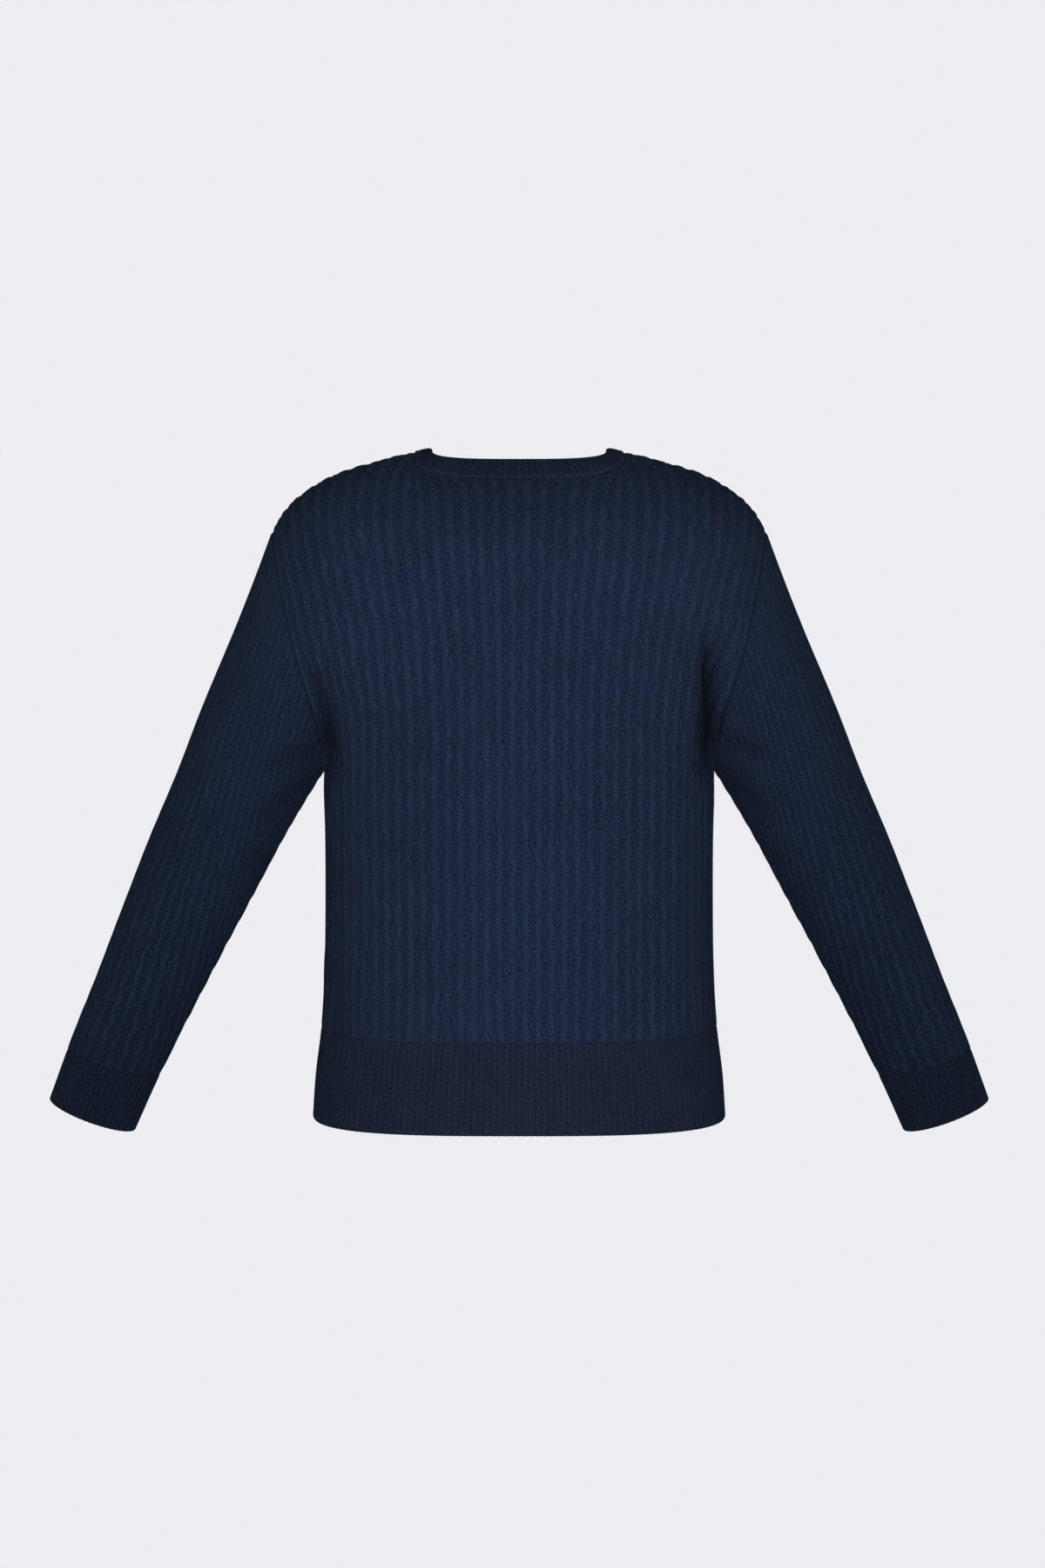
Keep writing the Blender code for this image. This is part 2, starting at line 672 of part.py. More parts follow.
def add_band(name, line, forward, first_x, last_x, drop, columns, ribs_height, rib):
    """A button band across the front's middle, on the other band or under it."""
    step = WALL + SEAM
    points = []
    for x in np.linspace(first_x, last_x, columns + 1):
        lift = step * (x + BAND_X) / (2 * BAND_X) - drop
        place = line + forward * lift
        points.append(np.insert(place, 0, x, axis=1))
    points = np.array(points)
    inward = np.broadcast_to(np.insert(-forward, 0, 0.0, axis=1), points.shape)
    add_wall(name, points, inward, ribs_on(points, ribs_height), rib)


def add_button(index, line, forward, finish):
    """A dished round button on the upper band, face forward."""
    share = index / (BUTTON_COUNT - 1)
    z = BUTTON_TOP_Z + (BUTTON_BOTTOM_Z - BUTTON_TOP_Z) * share
    step = WALL + SEAM
    place = np.array([np.interp(z, line[:, 1], line[:, 0]), z])
    ahead = unit(np.array([np.interp(z, line[:, 1], forward[:, i]) for i in range(2)]))
    place = place + ahead * (step / 2 + WELT_RIB + BUTTON_GAP)
    slant = Vector((-step / (2 * BAND_X), ahead[0], ahead[1])).normalized()
    profile = [
        (0.0, 0.0),
        (BUTTON_FOOT, 0.0),
        (BUTTON_RADIUS, BUTTON_EDGE_Z),
        (BUTTON_LIP, BUTTON_THICK),
        (BUTTON_LIP_INNER, BUTTON_THICK),
        (BUTTON_DISH, BUTTON_THICK - BUTTON_DISH_DEEP),
        (0.0, BUTTON_THICK - BUTTON_DISH_DEEP),
    ]
    mesh = bmesh.new()
    line_of = [mesh.verts.new((radius, 0.0, height)) for radius, height in profile]
    for pair in zip(line_of, line_of[1:]):
        mesh.edges.new(pair)
    made = add_object(f"button_{index + 1}", mesh, finish)
    made.location = 0.0, *place
    made.rotation_mode = "QUATERNION"
    made.rotation_quaternion = slant.to_track_quat("Z", "Y")
    turned = made.modifiers.new("turned", "SCREW")
    turned.steps = BUTTON_SIDES
    turned.render_steps = BUTTON_SIDES
    turned.use_merge_vertices = True
    turned.merge_threshold = 0.00001
    turned.use_normal_calculate = True


CHEST_WIDTHS = {face: chest_widths(face) for face in ("back", "front")}
BACK_NECK_Y = float(torso_depth(0.0, NECK_Z - BACK_NECK_DROP, "back"))
FRONT_NECK_Y = float(torso_depth(0.0, NECK_Z - FRONT_NECK_DROP, "front"))

for old in list(bpy.data.objects):
    bpy.data.objects.remove(old)
parts = bpy.data.collections.new("cardigan")
bpy.context.scene.collection.children.link(parts)

knit_finish = finish_of("navy wavy rib", (0.014, 0.025, 0.056), 0.9)
rib_finish = finish_of("navy fine rib", (0.010, 0.018, 0.040), 0.9)
button_finish = finish_of("navy button", (0.006, 0.009, 0.020), 0.35)

back_points = add_back(knit_finish, rib_finish)
for wearer_side in ("left", "right"):
    front_points = add_front(wearer_side, knit_finish, rib_finish)
    add_sleeve(wearer_side, knit_finish, rib_finish)
collar_points = add_neckband(back_points, front_points, rib_finish)

middle_line, middle_forward = band_line(front_points, collar_points)
add_band(
    "buttonhole_band",
    middle_line,
    middle_forward,
    SEAM - BAND_X,
    BAND_X - BAND_EDGE,
    0.0,
    BAND_COLUMNS,
    WELT_RIB,
    rib_finish,
)
add_band(
    "button_band",
    middle_line,
    middle_forward,
    BAND_EDGE - BAND_X,
    BAND_X - SEAM,
    WALL + SEAM,
    INNER_RUN,
    0.0,
    rib_finish,
)
for button in range(BUTTON_COUNT):
    add_button(button, middle_line, middle_forward, button_finish)
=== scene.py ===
"""Crew-neck cardigan in a navy wavy rib knit, filled out as worn and seen from behind.

Every sewn piece is a thin knitted wall on the shape of its CAD solid. The wavy ribs are raised in
the mesh, and the stitches are in the materials, which paint shade into the yarn's colour in the
troughs of the relief and between the strands of the stitches. These read two attributes of each
piece: "cloth" holds metres across the knit, metres along it and how full its relief is, from 0 at
a seam to 1, and "dark" holds how much shade is painted into the yarn's colour, in creases and
underarms, or where negative, a painted highlight along the neckband's linking stitches.
+X is the wearer's left, -Y the front and +Z up. Lengths are in metres.
"""

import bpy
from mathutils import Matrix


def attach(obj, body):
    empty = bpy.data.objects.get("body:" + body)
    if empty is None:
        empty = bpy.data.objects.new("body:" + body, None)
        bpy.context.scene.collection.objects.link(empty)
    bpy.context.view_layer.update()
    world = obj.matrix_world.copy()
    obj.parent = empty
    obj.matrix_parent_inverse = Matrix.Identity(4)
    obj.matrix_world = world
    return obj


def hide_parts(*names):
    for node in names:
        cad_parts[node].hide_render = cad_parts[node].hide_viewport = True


bl_info = {
    "name": "Wavy Rib Cardigan",
    "version": (1, 0, 0),
    "blender": (4, 5, 0),
    "location": "3D View > Sidebar > Cardigan",
    "description": "Builds a navy wavy-rib cardigan round its packed CAD frame",
    "category": "Add Mesh",
}

from collections import namedtuple
from math import cos, pi, radians, sin

import bmesh
import bpy
import numpy as np
from mathutils import Quaternion, Vector

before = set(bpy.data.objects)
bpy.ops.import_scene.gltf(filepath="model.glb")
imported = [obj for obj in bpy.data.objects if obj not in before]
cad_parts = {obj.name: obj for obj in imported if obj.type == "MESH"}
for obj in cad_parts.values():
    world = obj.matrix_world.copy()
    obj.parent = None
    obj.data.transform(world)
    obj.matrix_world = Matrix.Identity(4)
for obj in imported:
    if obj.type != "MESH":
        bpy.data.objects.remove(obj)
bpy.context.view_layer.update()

# Walls
WALL = 0.0022
SEAM = 0.0003
EDGE_ROLL = 4  # rows that round a free edge
ROUND_TO = radians(50)  # sharper edges than this stay sharp
SEAM_DIP = 0.0003  # how far a piece sinks at its seams
SEAM_SOFT = 0.0016  # distance over which the ribs die away at a seam

# Knit
ROW = 0.0028  # spacing of the mesh along the wavy ribs
INNER_RUN = 4  # rows of the outer face to one of the plain inner face
LINE_WIDE = 0.0013  # half-width of the fine line inside a cell
LINE_TALL = 0.75  # its height as a share of a rib's
RIBS_BACK = 42
RIBS_FRONT = 20
SLEEVE_RIBS = 34
RIB_STEP = 8  # mesh columns to a wavy rib
HEM_RIBS_BACK = 46  # fine ribs of half the back's hem
HEM_RIBS_FRONT = 43
CUFF_RIBS = 50
NECK_RIBS = 96
BAND_RIBS = 6
WELT_STEP = 8  # mesh columns to a fine rib
WELT_SOFT = 0.35  # share of its height that a fine rib keeps at a seam
HEM_ROWS = 17  # rows of points between the two edges of the hem's rib
CUFF_ROWS = 13
NECK_ROWS = 25
BAND_ROWS = 193
DARKEST = 0.85  # share of its tone that the painted shade takes from the yarn at full strength, deep in a crease or at an underarm
NECK_PAINTED_SHADE = 0.68  # tone of the neckband beside the hem's: painted shade, a darker copy of the same fine-rib yarn

# Yarn: width and height of the specks of each unevenness, and how far some move the ribs
DRIFT_SIZE = (0.012, 0.012)
DRIFT = 0.0020
BEND_SIZE = (0.009, 0.011)
BEND_WAVY = 0.0024
BEND_FINE = 0.0006
FRAY_SIZE = (0.0022, 0.0012)
FRAY = 0.0026
SUNK_SIZE = (0.008, 0.020)
CLOUD_SCALE = 22.0
FLUFF_SCALE = 2600.0
# What each adds to the yarn's tone, from its trough colour to its crest colour; the relief's and the
# stitches' shares paint shade into the troughs and between the strands of the stitches
BASE_TONE = 0.22
RIB_TONE = 0.40
SUNK_TONE = 1.2
STITCH_TONE = 0.16
PALE_TONE = 2.6
CLOUD_TONE = 0.25
FLUFF_TONE = 1.4
# What each adds to the bump
RIB_BUMP = 0.0004
STITCH_BUMP = 0.0004
PALE_BUMP = 0.0006
FLUFF_BUMP = 0.00025
# Roughness between the ribs, and how much less it is on their crests
YARN_ROUGH = 0.93
CREST_SMOOTHER = 0.10

# Body
HEM_Z = -0.594
WELT_Z = -0.513
UNDERARM_Z = -0.285
ARMHOLE_ROWS = 100
CUT_ROWS = 26  # rows over which the armhole cuts ribs off
SHOULDER_LEAN = 0.05  # how far the shoulder seam's rims lean down
CROWN_POWER = 1.8

# Neck
NECK_X = 0.0934
NECK_Z = -0.004
BACK_NECK_DROP = 0.0236
BACK_NECK_POWER = 3.0
FRONT_NECK_DROP = 0.084
FRONT_NECK_POWER = 2.2
BACK_NECK_SHARE = 18 / 42  # share of the back's columns that end on the neckline
FRONT_NECK_SHARE = 16 / 40
NECK_WARP = 1.25  # power that spreads the columns along the neckline
BACK_NECK_FADE = 4.0
FRONT_NECK_FADE = 2.0
NECK_SAG_X = 0.098
NECK_SAG_POWER = 4.5
NECK_TAKEN = 12.0  # power with which the top rows take up the neckline's own curve
NECK_RIM = (0.3, 0.9, 0.7)  # how far the neckline's rims lean to the side, outwards and up
NECKBAND_SEAM = 0.0005
NECKBAND_X = 0.078
NECKBAND_LEAN = 0.90
NECKBAND_BACK_DROP = 0.0094
NECKBAND_FRONT_DROP = 0.069
NECKBAND_BULGE = 0.0012
LINK_UP = 0.0026  # the linking stitches: their height over the neckline
LINK_WIDE = 0.0019  # half of their row's width
LINK_TALL = 0.0014  # how far they stand out
LINK_STEP = 0.0025  # length of one
LINK_PAINTED_HIGHLIGHT = 1.8  # how much paler their painted highlight makes them

# Sleeves
ARM_RADIUS = 0.05  # turns the angles of a sleeve's creases into distances
SLEEVE_ANGLE = radians(24.0)
ARMHOLE_DEPTH = 0.070
ARMHOLE_SEAM = 0.0004
ARMHOLE_TOP = 0.15  # angle from the top at which the torso's own widths end
ARMHOLE_STEPS = 40
SLEEVE_JOIN = 0.110  # distance over which a sleeve leaves the armhole's shape for its own
CUFF_DOWN = 0.6535
CUFF_SLANT = 0.0060
SLEEVE_END = 0.7075
END_SLANT = 0.0022
ARMPIT_PAINTED_SHADE = 0.75  # how much shade is painted into the yarn's colour at the underarm, on body and sleeve
ARMPIT_WIDE = 0.020  # half-width of the painted shade on the body
ARMPIT_UP = 0.032  # height of its middle over the underarm, and half its own height
ARMPIT_NARROW = 7.0  # power that keeps it to the sleeve's inner edge
ARMPIT_LONG = 0.13  # distance down the sleeve over which the painted shade fades
UNDERARM_DOWN = 0.33  # distance down the sleeve's axis to the underarm

# Front edges
BAND_X = 0.014
BAND_OVER = 0.0002  # how far each band's free edge passes the front beside it
BUTTON_COUNT = 7

Torso = namedtuple("Torso", "z half_width back front power")
TORSO = [
    Torso(-0.594, 0.1845, 0.1180, 0.1190, 3.10),
    Torso(-0.560, 0.1822, 0.1170, 0.1185, 2.95),
    Torso(-0.513, 0.1765, 0.1135, 0.1160, 2.80),
    Torso(-0.460, 0.1735, 0.1090, 0.1130, 2.65),
    Torso(-0.400, 0.1725, 0.1060, 0.1120, 2.55),
    Torso(-0.340, 0.1725, 0.1085, 0.1160, 2.60),
    Torso(-0.285, 0.1740, 0.1120, 0.1200, 2.70),
]
Chest = namedtuple("Chest", "z back front power")
CHEST = [
    Chest(-0.285, 0.1120, 0.1200, 2.70),
    Chest(-0.272, 0.1130, 0.1208, 2.50),
    Chest(-0.245, 0.1152, 0.1220, 2.20),
    Chest(-0.190, 0.1172, 0.1200, 2.10),
    Chest(-0.140, 0.1180, 0.1165, 2.10),
    Chest(-0.090, 0.1180, 0.1135, 2.10),
    Chest(0.000, 0.1180, 0.1120, 2.10),
]
Crown = namedtuple("Crown", "x back front roundness")
CROWN = [
    Crown(0.000, 0.098, 0.160, 1.25),
    Crown(0.050, 0.098, 0.155, 1.22),
    Crown(0.075, 0.097, 0.145, 1.20),
    Crown(0.095, 0.096, 0.130, 1.24),
    Crown(0.125, 0.092, 0.110, 1.50),
    Crown(0.160, 0.088, 0.095, 1.90),
    Crown(0.218, 0.085, 0.085, 2.00),
]
Armhole = namedtuple("Armhole", "z x")
ARMHOLE = [
    Armhole(-0.285, 0.1740),
    Armhole(-0.260, 0.1752),
    Armhole(-0.236, 0.1790),
    Armhole(-0.205, 0.1880),
    Armhole(-0.170, 0.1975),
    Armhole(-0.128, 0.2070),
    Armhole(-0.097, 0.2130),
    Armhole(-0.073, 0.2180),
]
Shoulder = namedtuple("Shoulder", "x z")
SHOULDER = [
    Shoulder(0.0000, -0.0020),
    Shoulder(0.0600, -0.0025),
    Shoulder(0.0934, -0.0040),
    Shoulder(0.1100, -0.0070),
    Shoulder(0.1290, -0.0125),
    Shoulder(0.1520, -0.0190),
    Shoulder(0.1680, -0.0255),
    Shoulder(0.1860, -0.0360),
    Shoulder(0.2040, -0.0510),
    Shoulder(0.2130, -0.0630),
    Shoulder(0.2180, -0.0730),
]
Sleeve = namedtuple("Sleeve", "down out half_width half_depth forward")
SLEEVE = [
    Sleeve(0.150, 0.1051, 0.0620, 0.0700, 0.000),
    Sleeve(0.250, 0.1054, 0.0600, 0.0670, 0.000),
    Sleeve(0.331, 0.1067, 0.0575, 0.0610, 0.001),
    Sleeve(0.384, 0.1070, 0.0548, 0.0560, 0.002),
    Sleeve(0.450, 0.1086, 0.0525, 0.0515, 0.005),
    Sleeve(0.520, 0.1100, 0.0485, 0.0470, 0.009),
    Sleeve(0.590, 0.1108, 0.0448, 0.0425, 0.014),
    Sleeve(0.650, 0.1115, 0.0425, 0.0390, 0.018),
    Sleeve(0.710, 0.1100, 0.0404, 0.0372, 0.021),
]
DOWN = np.array([sin(SLEEVE_ANGLE), 0.0, -cos(SLEEVE_ANGLE)])
OUT = np.array([cos(SLEEVE_ANGLE), 0.0, sin(SLEEVE_ANGLE)])
BACKWARD = np.array([0.0, 1.0, 0.0])

# Creases of the body, seen from behind or in front: from one point to another, a trough where
# deep is positive and a ridge where it is negative; sharp narrows the side nearer the middle
Fold = namedtuple("Fold", "face x0 z0 x1 z1 wide deep sharp", defaults=(1.0,))
FOLDS = [
    Fold("back", -0.160, -0.140, -0.166, -0.315, 0.0140, 0.0075),
    Fold("back", 0.170, -0.165, 0.168, -0.305, 0.0130, 0.0055),
    Fold("front", -0.154, -0.155, -0.163, -0.300, 0.0140, 0.0065),
    Fold("front", 0.160, -0.145, 0.166, -0.310, 0.0135, 0.0070),
    Fold("back", -0.1615, -0.150, -0.1720, -0.286, 0.0120, 0.0070, 0.25),
    Fold("back", -0.152, -0.150, -0.157, -0.300, 0.0065, -0.0014),
    Fold("back", 0.183, -0.165, 0.173, -0.290, 0.0080, 0.0050, 0.50),
    Fold("back", -0.185, -0.120, -0.192, -0.200, 0.0090, -0.0015),
    Fold("back", 0.005, -0.318, -0.150, -0.306, 0.0060, 0.0018),
    Fold("back", -0.010, -0.331, -0.140, -0.322, 0.0080, -0.0012),
    Fold("back", 0.150, -0.320, 0.095, -0.360, 0.0090, 0.0018),
    Fold("back", 0.1720, -0.440, 0.1640, -0.540, 0.0032, -0.0020),
    Fold("back", 0.1650, -0.440, 0.1570, -0.540, 0.0060, 0.0020),
    Fold("back", -0.060, -0.060, -0.130, -0.110, 0.0150, 0.0015),
    Fold("back", 0.070, -0.055, 0.135, -0.120, 0.0150, 0.0015),
    Fold("front", -0.164, -0.165, -0.170, -0.288, 0.0110, 0.0050, 0.30),
    Fold("front", 0.167, -0.155, 0.172, -0.290, 0.0100, 0.0055, 0.35),
    Fold("front", -0.160, -0.290, -0.105, -0.340, 0.0090, 0.0020),
    Fold("front", 0.155, -0.300, 0.090, -0.330, 0.0080, 0.0018),
    Fold("front", 0.120, -0.100, 0.170, -0.150, 0.0140, 0.0016),
    Fold("front", -0.110, -0.095, -0.165, -0.160, 0.0140, 0.0018),
]
FOLD_FADE = 0.011  # distance from a seam over which a crease dies away
FOLD_DARK = 0.012  # depth of a crease that light hardly reaches, where its painted shade is full
# Creases of a sleeve: angles from its top towards the back, and distances down its axis
Crease = namedtuple("Crease", "side turn0 down0 turn1 down1 wide deep")
CREASES = [
    Crease("left", 150, 0.300, 95, 0.360, 0.009, 0.0035),
    Crease("left", 165, 0.330, 110, 0.400, 0.009, 0.0030),
    Crease("left", 140, 0.270, 100, 0.300, 0.010, -0.0025),
    Crease("left", 175, 0.420, 120, 0.440, 0.008, 0.0020),
    Crease("left", 215, 0.310, 260, 0.370, 0.010, 0.0030),
    Crease("left", 230, 0.460, 285, 0.450, 0.008, 0.0028),
    Crease("left", 240, 0.500, 290, 0.510, 0.009, 0.0020),
    Crease("left", 70, 0.600, 120, 0.625, 0.008, 0.0015),
    Crease("right", 152, 0.290, 90, 0.345, 0.009, 0.0038),
    Crease("right", 168, 0.325, 115, 0.405, 0.010, 0.0030),
    Crease("right", 145, 0.260, 105, 0.285, 0.010, -0.0028),
    Crease("right", 170, 0.450, 125, 0.470, 0.008, 0.0018),
    Crease("right", 210, 0.300, 255, 0.355, 0.009, 0.0032),
    Crease("right", 225, 0.450, 280, 0.465, 0.009, 0.0025),
    Crease("right", 245, 0.520, 295, 0.505, 0.008, 0.0020),
    Crease("right", 65, 0.610, 115, 0.620, 0.008, 0.0015),
]


def length_of(name, description, default):
    return bpy.props.FloatProperty(
        name=name, description=description, default=default, unit="LENGTH"
    )


def power_of(name, description, default):
    return bpy.props.FloatProperty(
        name=name, description=description, default=default, unit="POWER"
    )


def colour_of(name, description, default):
    return bpy.props.FloatVectorProperty(
        name=name, description=description, default=default, subtype="COLOR"
    )


class KnitSettings(bpy.types.PropertyGroup):
    """Sizes and colours of the knit."""

    rib_pitch: length_of("Rib pitch", "Distance from one wavy rib to the next", 0.0112)
    rib_height: length_of("Rib height", "How far the wavy ribs stand out", 0.0012)
    rib_width: length_of("Rib width", "Half of a wavy rib's width", 0.0036)
    wave: length_of("Wave", "How far a rib swings to each side", 0.0010)
    cell: length_of("Cell length", "Length of one wave of a rib", 0.0226)
    welt_pitch: length_of(
        "Fine rib pitch", "Distance between ribs of the hem, cuffs, neck and bands", 0.00505
    )
    welt_height: length_of("Fine rib height", "How far the fine ribs stand out", 0.0009)
    stitch_width: length_of("Stitch width", "Width of one stitch", 0.0032)
    stitch_height: length_of("Stitch height", "Height of one row of stitches", 0.0017)
    # Crest and trough colours are one yarn: the darker trough colour is shade painted into the
    # troughs between the ribs and between the strands of the stitches
    crest: colour_of("Crest colour", "Yarn on the crests of the ribs", (0.0205, 0.0375, 0.0850))
    trough: colour_of("Trough colour", "Yarn between the ribs", (0.0070, 0.0125, 0.0285))
    # Likewise, the fine rib's trough colour is shade painted between the fine ribs
    welt_crest: colour_of("Fine rib colour", "Yarn on the fine ribs", (0.0170, 0.0275, 0.0560))
    welt_trough: colour_of(
        "Fine rib trough colour", "Yarn between the fine ribs", (0.0072, 0.0122, 0.0260)
    )
    button: colour_of("Button colour", "Dyed resin of the buttons", (0.0060, 0.0090, 0.0200))


class StudioSettings(bpy.types.PropertyGroup):
    """Camera, lights and ground."""

    camera_distance: length_of("Camera distance", "From the middle of the garment", 3.0)
    camera_height: length_of("Camera height", "Above the level of the neck points", -0.010)
    frame_height: length_of("Frame height", "Height of the view at the garment", 1.404)
    aim: bpy.props.FloatVectorProperty(
        name="Aim",
        description="Point in the middle of the view",
        subtype="XYZ",
        unit="LENGTH",
        default=(-0.003, 0.0, -0.2987),
    )
    floor_drop: length_of("Floor", "Height of the floor", -1.25)
    pale: colour_of("Ground colour", "Colour of the floor and the backdrop", (0.847, 0.847, 0.888))
    beam_power: power_of(
        "Beam", "Power of the narrow upright beam on the middle, behind and in front", 0.84
    )
    key_power: power_of("Key light", "Power of the wide light behind and in front", 9.0)
    sleeve_power: power_of(
        "Sleeve light", "Power of the narrow beam along each sleeve, behind and in front", 0.075
    )
    side_power: power_of("Side light", "Power of the wide light on each side", 4.0)
    fill: bpy.props.FloatProperty(
        name="Fill light",
        description="Strength of the light from all round",
        default=0.022,
    )


# ---- shape of the torso


def curve(table, key, value, at):
    """A table's column as a smooth curve over another one."""
    x = np.array([getattr(row, key) for row in table])
    y = np.array([getattr(row, value) for row in table])
    slope = np.gradient(y, x)
    i = np.clip(np.searchsorted(x, at) - 1, 0, len(x) - 2)
    step = x[i + 1] - x[i]
    t = np.clip((at - x[i]) / step, 0.0, 1.0)
    rise = y[i + 1] - y[i]
    start = slope[i] * step - rise
    end = rise - slope[i + 1] * step
    return y[i] + t * rise + t * (1 - t) * ((1 - t) * start + t * end)


def unit(vectors):
    return vectors / np.linalg.norm(vectors, axis=-1, keepdims=True)


def flattened(vectors, axis):
    """Directions laid into the plane square to an axis."""
    flat = np.array(vectors)
    flat[..., axis] = 0.0
    return unit(flat)


def lengths(points, axis):
    """Distance travelled along one axis of a grid."""
    step = np.linalg.norm(np.diff(points, axis=axis), axis=-1)
    run = np.cumsum(step, axis=axis)
    return np.concatenate([np.zeros_like(run.take([0], axis=axis)), run], axis=axis)


def inward_normals(points, closed=False):
    """Directions into the garment at the points of a grid of columns and rows."""
    if closed:
        wrapped = np.concatenate([points[-2:-1], points, points[1:2]])
        across = np.gradient(wrapped, axis=0)[1:-1]
    else:
        across = np.gradient(points, axis=0)
    return unit(np.cross(across, np.gradient(points, axis=1)))


def turned_in(directions, points):
    """The directions, reversed if they point out of the garment in the middle of the piece."""
    middle = points.shape[0] // 2
    same = np.sign(directions[middle, 1, 1]) == np.sign(points[middle, 1, 1])
    return -directions if same else directions


def bow(share, power):
    """How far a section has come round, from 1 in the middle to 0 at its side."""
    return (1.0 - np.clip(share, 0.0, 1.0) ** power) ** (1.0 / power)


def crown(x, z, face):
    """Share of the torso's depth that is left where it rounds over the shoulder."""
    below = curve(SHOULDER, "x", "z", x) - z
    down = np.clip(below / curve(CROWN, "x", face, x), 0.0, 1.0)
    roundness = curve(CROWN, "x", "roundness", x)
    return (1.0 - (1.0 - down) ** CROWN_POWER) ** (1.0 / roundness)


def armhole_point(turn):
    """Armhole seam at an angle from its top, seen along the sleeve."""
    table = np.array([[row.x, 0.0, row.z] for row in ARMHOLE])
    out = table @ OUT
    z = np.interp((out[-1] + out[0]) / 2 + (out[-1] - out[0]) / 2 * cos(turn), out, table[:, 2])
    return float(curve(ARMHOLE, "z", "x", z)), ARMHOLE_DEPTH * sin(turn), float(z)


def chest_widths(face):
    """Heights in the armhole, and the half-widths there of the torso sections that it cuts."""
    heights = []
    widths = []
    for turn in np.linspace(pi, ARMHOLE_TOP, ARMHOLE_STEPS):
        x, y, z = armhole_point(turn)
        share = y / (curve(CHEST, "z", face, z) * crown(x, z, face))
        heights.append(z)
        widths.append(x / bow(share, curve(CHEST, "z", "power", z)))
    return heights, widths


def torso_depth(x, z, face):
    """Distance of the back or front from the middle of the garment."""
    below = z < UNDERARM_Z
    heights, widths = CHEST_WIDTHS[face]
    half_width = np.where(below, curve(TORSO, "z", "half_width", z), np.interp(z, heights, widths))
    depth = np.where(below, curve(TORSO, "z", face, z), curve(CHEST, "z", face, z))
    power = np.where(below, curve(TORSO, "z", "power", z), curve(CHEST, "z", "power", z))
    return np.maximum(depth * bow(x / half_width, power) * crown(x, z, face), SEAM / 2)


def even_x(half_width, z, face, first_x, steps):
    """Places from first_x to the side that are evenly spaced along a level section."""
    x = half_width * np.sin(np.linspace(0.0, pi / 2, 181))
    y = torso_depth(x, np.full(len(x), z), face)
    run = np.concatenate([[0.0], np.cumsum(np.hypot(np.diff(x), np.diff(y)))])
    start = np.interp(first_x, x, run)
    return np.interp(start + (run[-1] - start) * steps, run, x)


def top_edge(first_x, neck_share, steps, face):
    """Upper edge of a panel: neckline first, then the shoulder seam."""
    inside = np.clip(steps / neck_share, 0.0, 1.0)
    outside = np.clip((steps - neck_share) / (1.0 - neck_share), 0.0, 1.0)
    x = first_x + (NECK_X - first_x) * (1.0 - (1.0 - inside) ** NECK_WARP)
    x = x + (SHOULDER[-1].x - NECK_X) * outside
    drop = BACK_NECK_DROP if face == "back" else FRONT_NECK_DROP
    power = BACK_NECK_POWER if face == "back" else FRONT_NECK_POWER
    fall = (1.0 - np.clip(x / NECK_X, 0.0, 1.0) ** power) ** (1.0 / power)
    return x, np.where(outside > 0.0, curve(SHOULDER, "x", "z", x), NECK_Z - drop * fall)


def neck_dip(x, own, up, face):
    """How far a row lies below the shoulder's line, where the neckline itself does so by own."""
    drop = BACK_NECK_DROP if face == "back" else FRONT_NECK_DROP
    fade = BACK_NECK_FADE if face == "back" else FRONT_NECK_FADE
    sag = drop / (1.0 + (x / NECK_SAG_X) ** NECK_SAG_POWER) * (1.0 - (x / SHOULDER[-1].x) ** 2)
    taken = up**NECK_TAKEN
    return up**fade * (own * taken + sag * (1.0 - taken))


def torso_row(z, face, first_x, steps):
    """One level section of the torso below the armholes."""
    half_width = float(curve(TORSO, "z", "half_width", z))
    heights = np.full(len(steps), z)
    x = even_x(half_width, z, face, first_x, steps)
    return np.stack([x, torso_depth(x, heights, face), heights], axis=1)


def half_panel(face, first_x, steps):
    """Points of half the back, or of a front, from the middle out and from rib to shoulder."""
    neck_share = BACK_NECK_SHARE if face == "back" else FRONT_NECK_SHARE
    below = INNER_RUN * round((UNDERARM_Z - WELT_Z) / (INNER_RUN * ROW))
    rows = []
    for z in np.linspace(WELT_Z + SEAM / 2, UNDERARM_Z, below + 1)[:-1]:
        rows.append(torso_row(z, face, first_x, steps))
    top_x, top_z = top_edge(first_x, neck_share, steps, face)
    ridge = curve(SHOULDER, "x", "z", top_x)
    tip = SHOULDER[-1]
    for turn in np.linspace(pi, 0.0, ARMHOLE_ROWS + 1):
        side_x, side_y, side_z = armhole_point(turn)
        up = (side_z - UNDERARM_Z) / (tip.z - UNDERARM_Z)
        x = even_x(side_x, side_z, face, first_x, steps)
        straight = first_x + (top_x - first_x) * (side_x - first_x) / (tip.x - first_x)
        x = x + (straight - x) * up**2
        z = UNDERARM_Z + up * (ridge - UNDERARM_Z) - neck_dip(x, ridge - top_z, up, face)
        row = np.stack([x, torso_depth(x, z, face), z], axis=1)
        row[-1] = side_x, max(side_y, SEAM / 2), side_z
        rows.append(row)
    return on_face(np.stack(rows, axis=1), face)


def on_face(points, face):
    """Points of the back as they are, and of the front with their depth turned forward."""
    return points * [1.0, 1.0 if face == "back" else -1.0, 1.0]


def mirrored(points):
    return points * [-1.0, 1.0, 1.0]


def both_halves(half):
    """A whole back from its left half."""
    return np.concatenate([mirrored(half[:0:-1]), half])


def neckline_inward(points):
    """Directions that the neckline's two rims share, into the garment."""
    depth = np.where(points[..., 1] > 0, BACK_NECK_Y, FRONT_NECK_Y)
    side, ahead, up = NECK_RIM
    x = side * points[..., 0] / NECK_X
    y = ahead * points[..., 1] / depth
    return -unit(np.stack([x, y, np.full(depth.shape, up)], axis=-1))


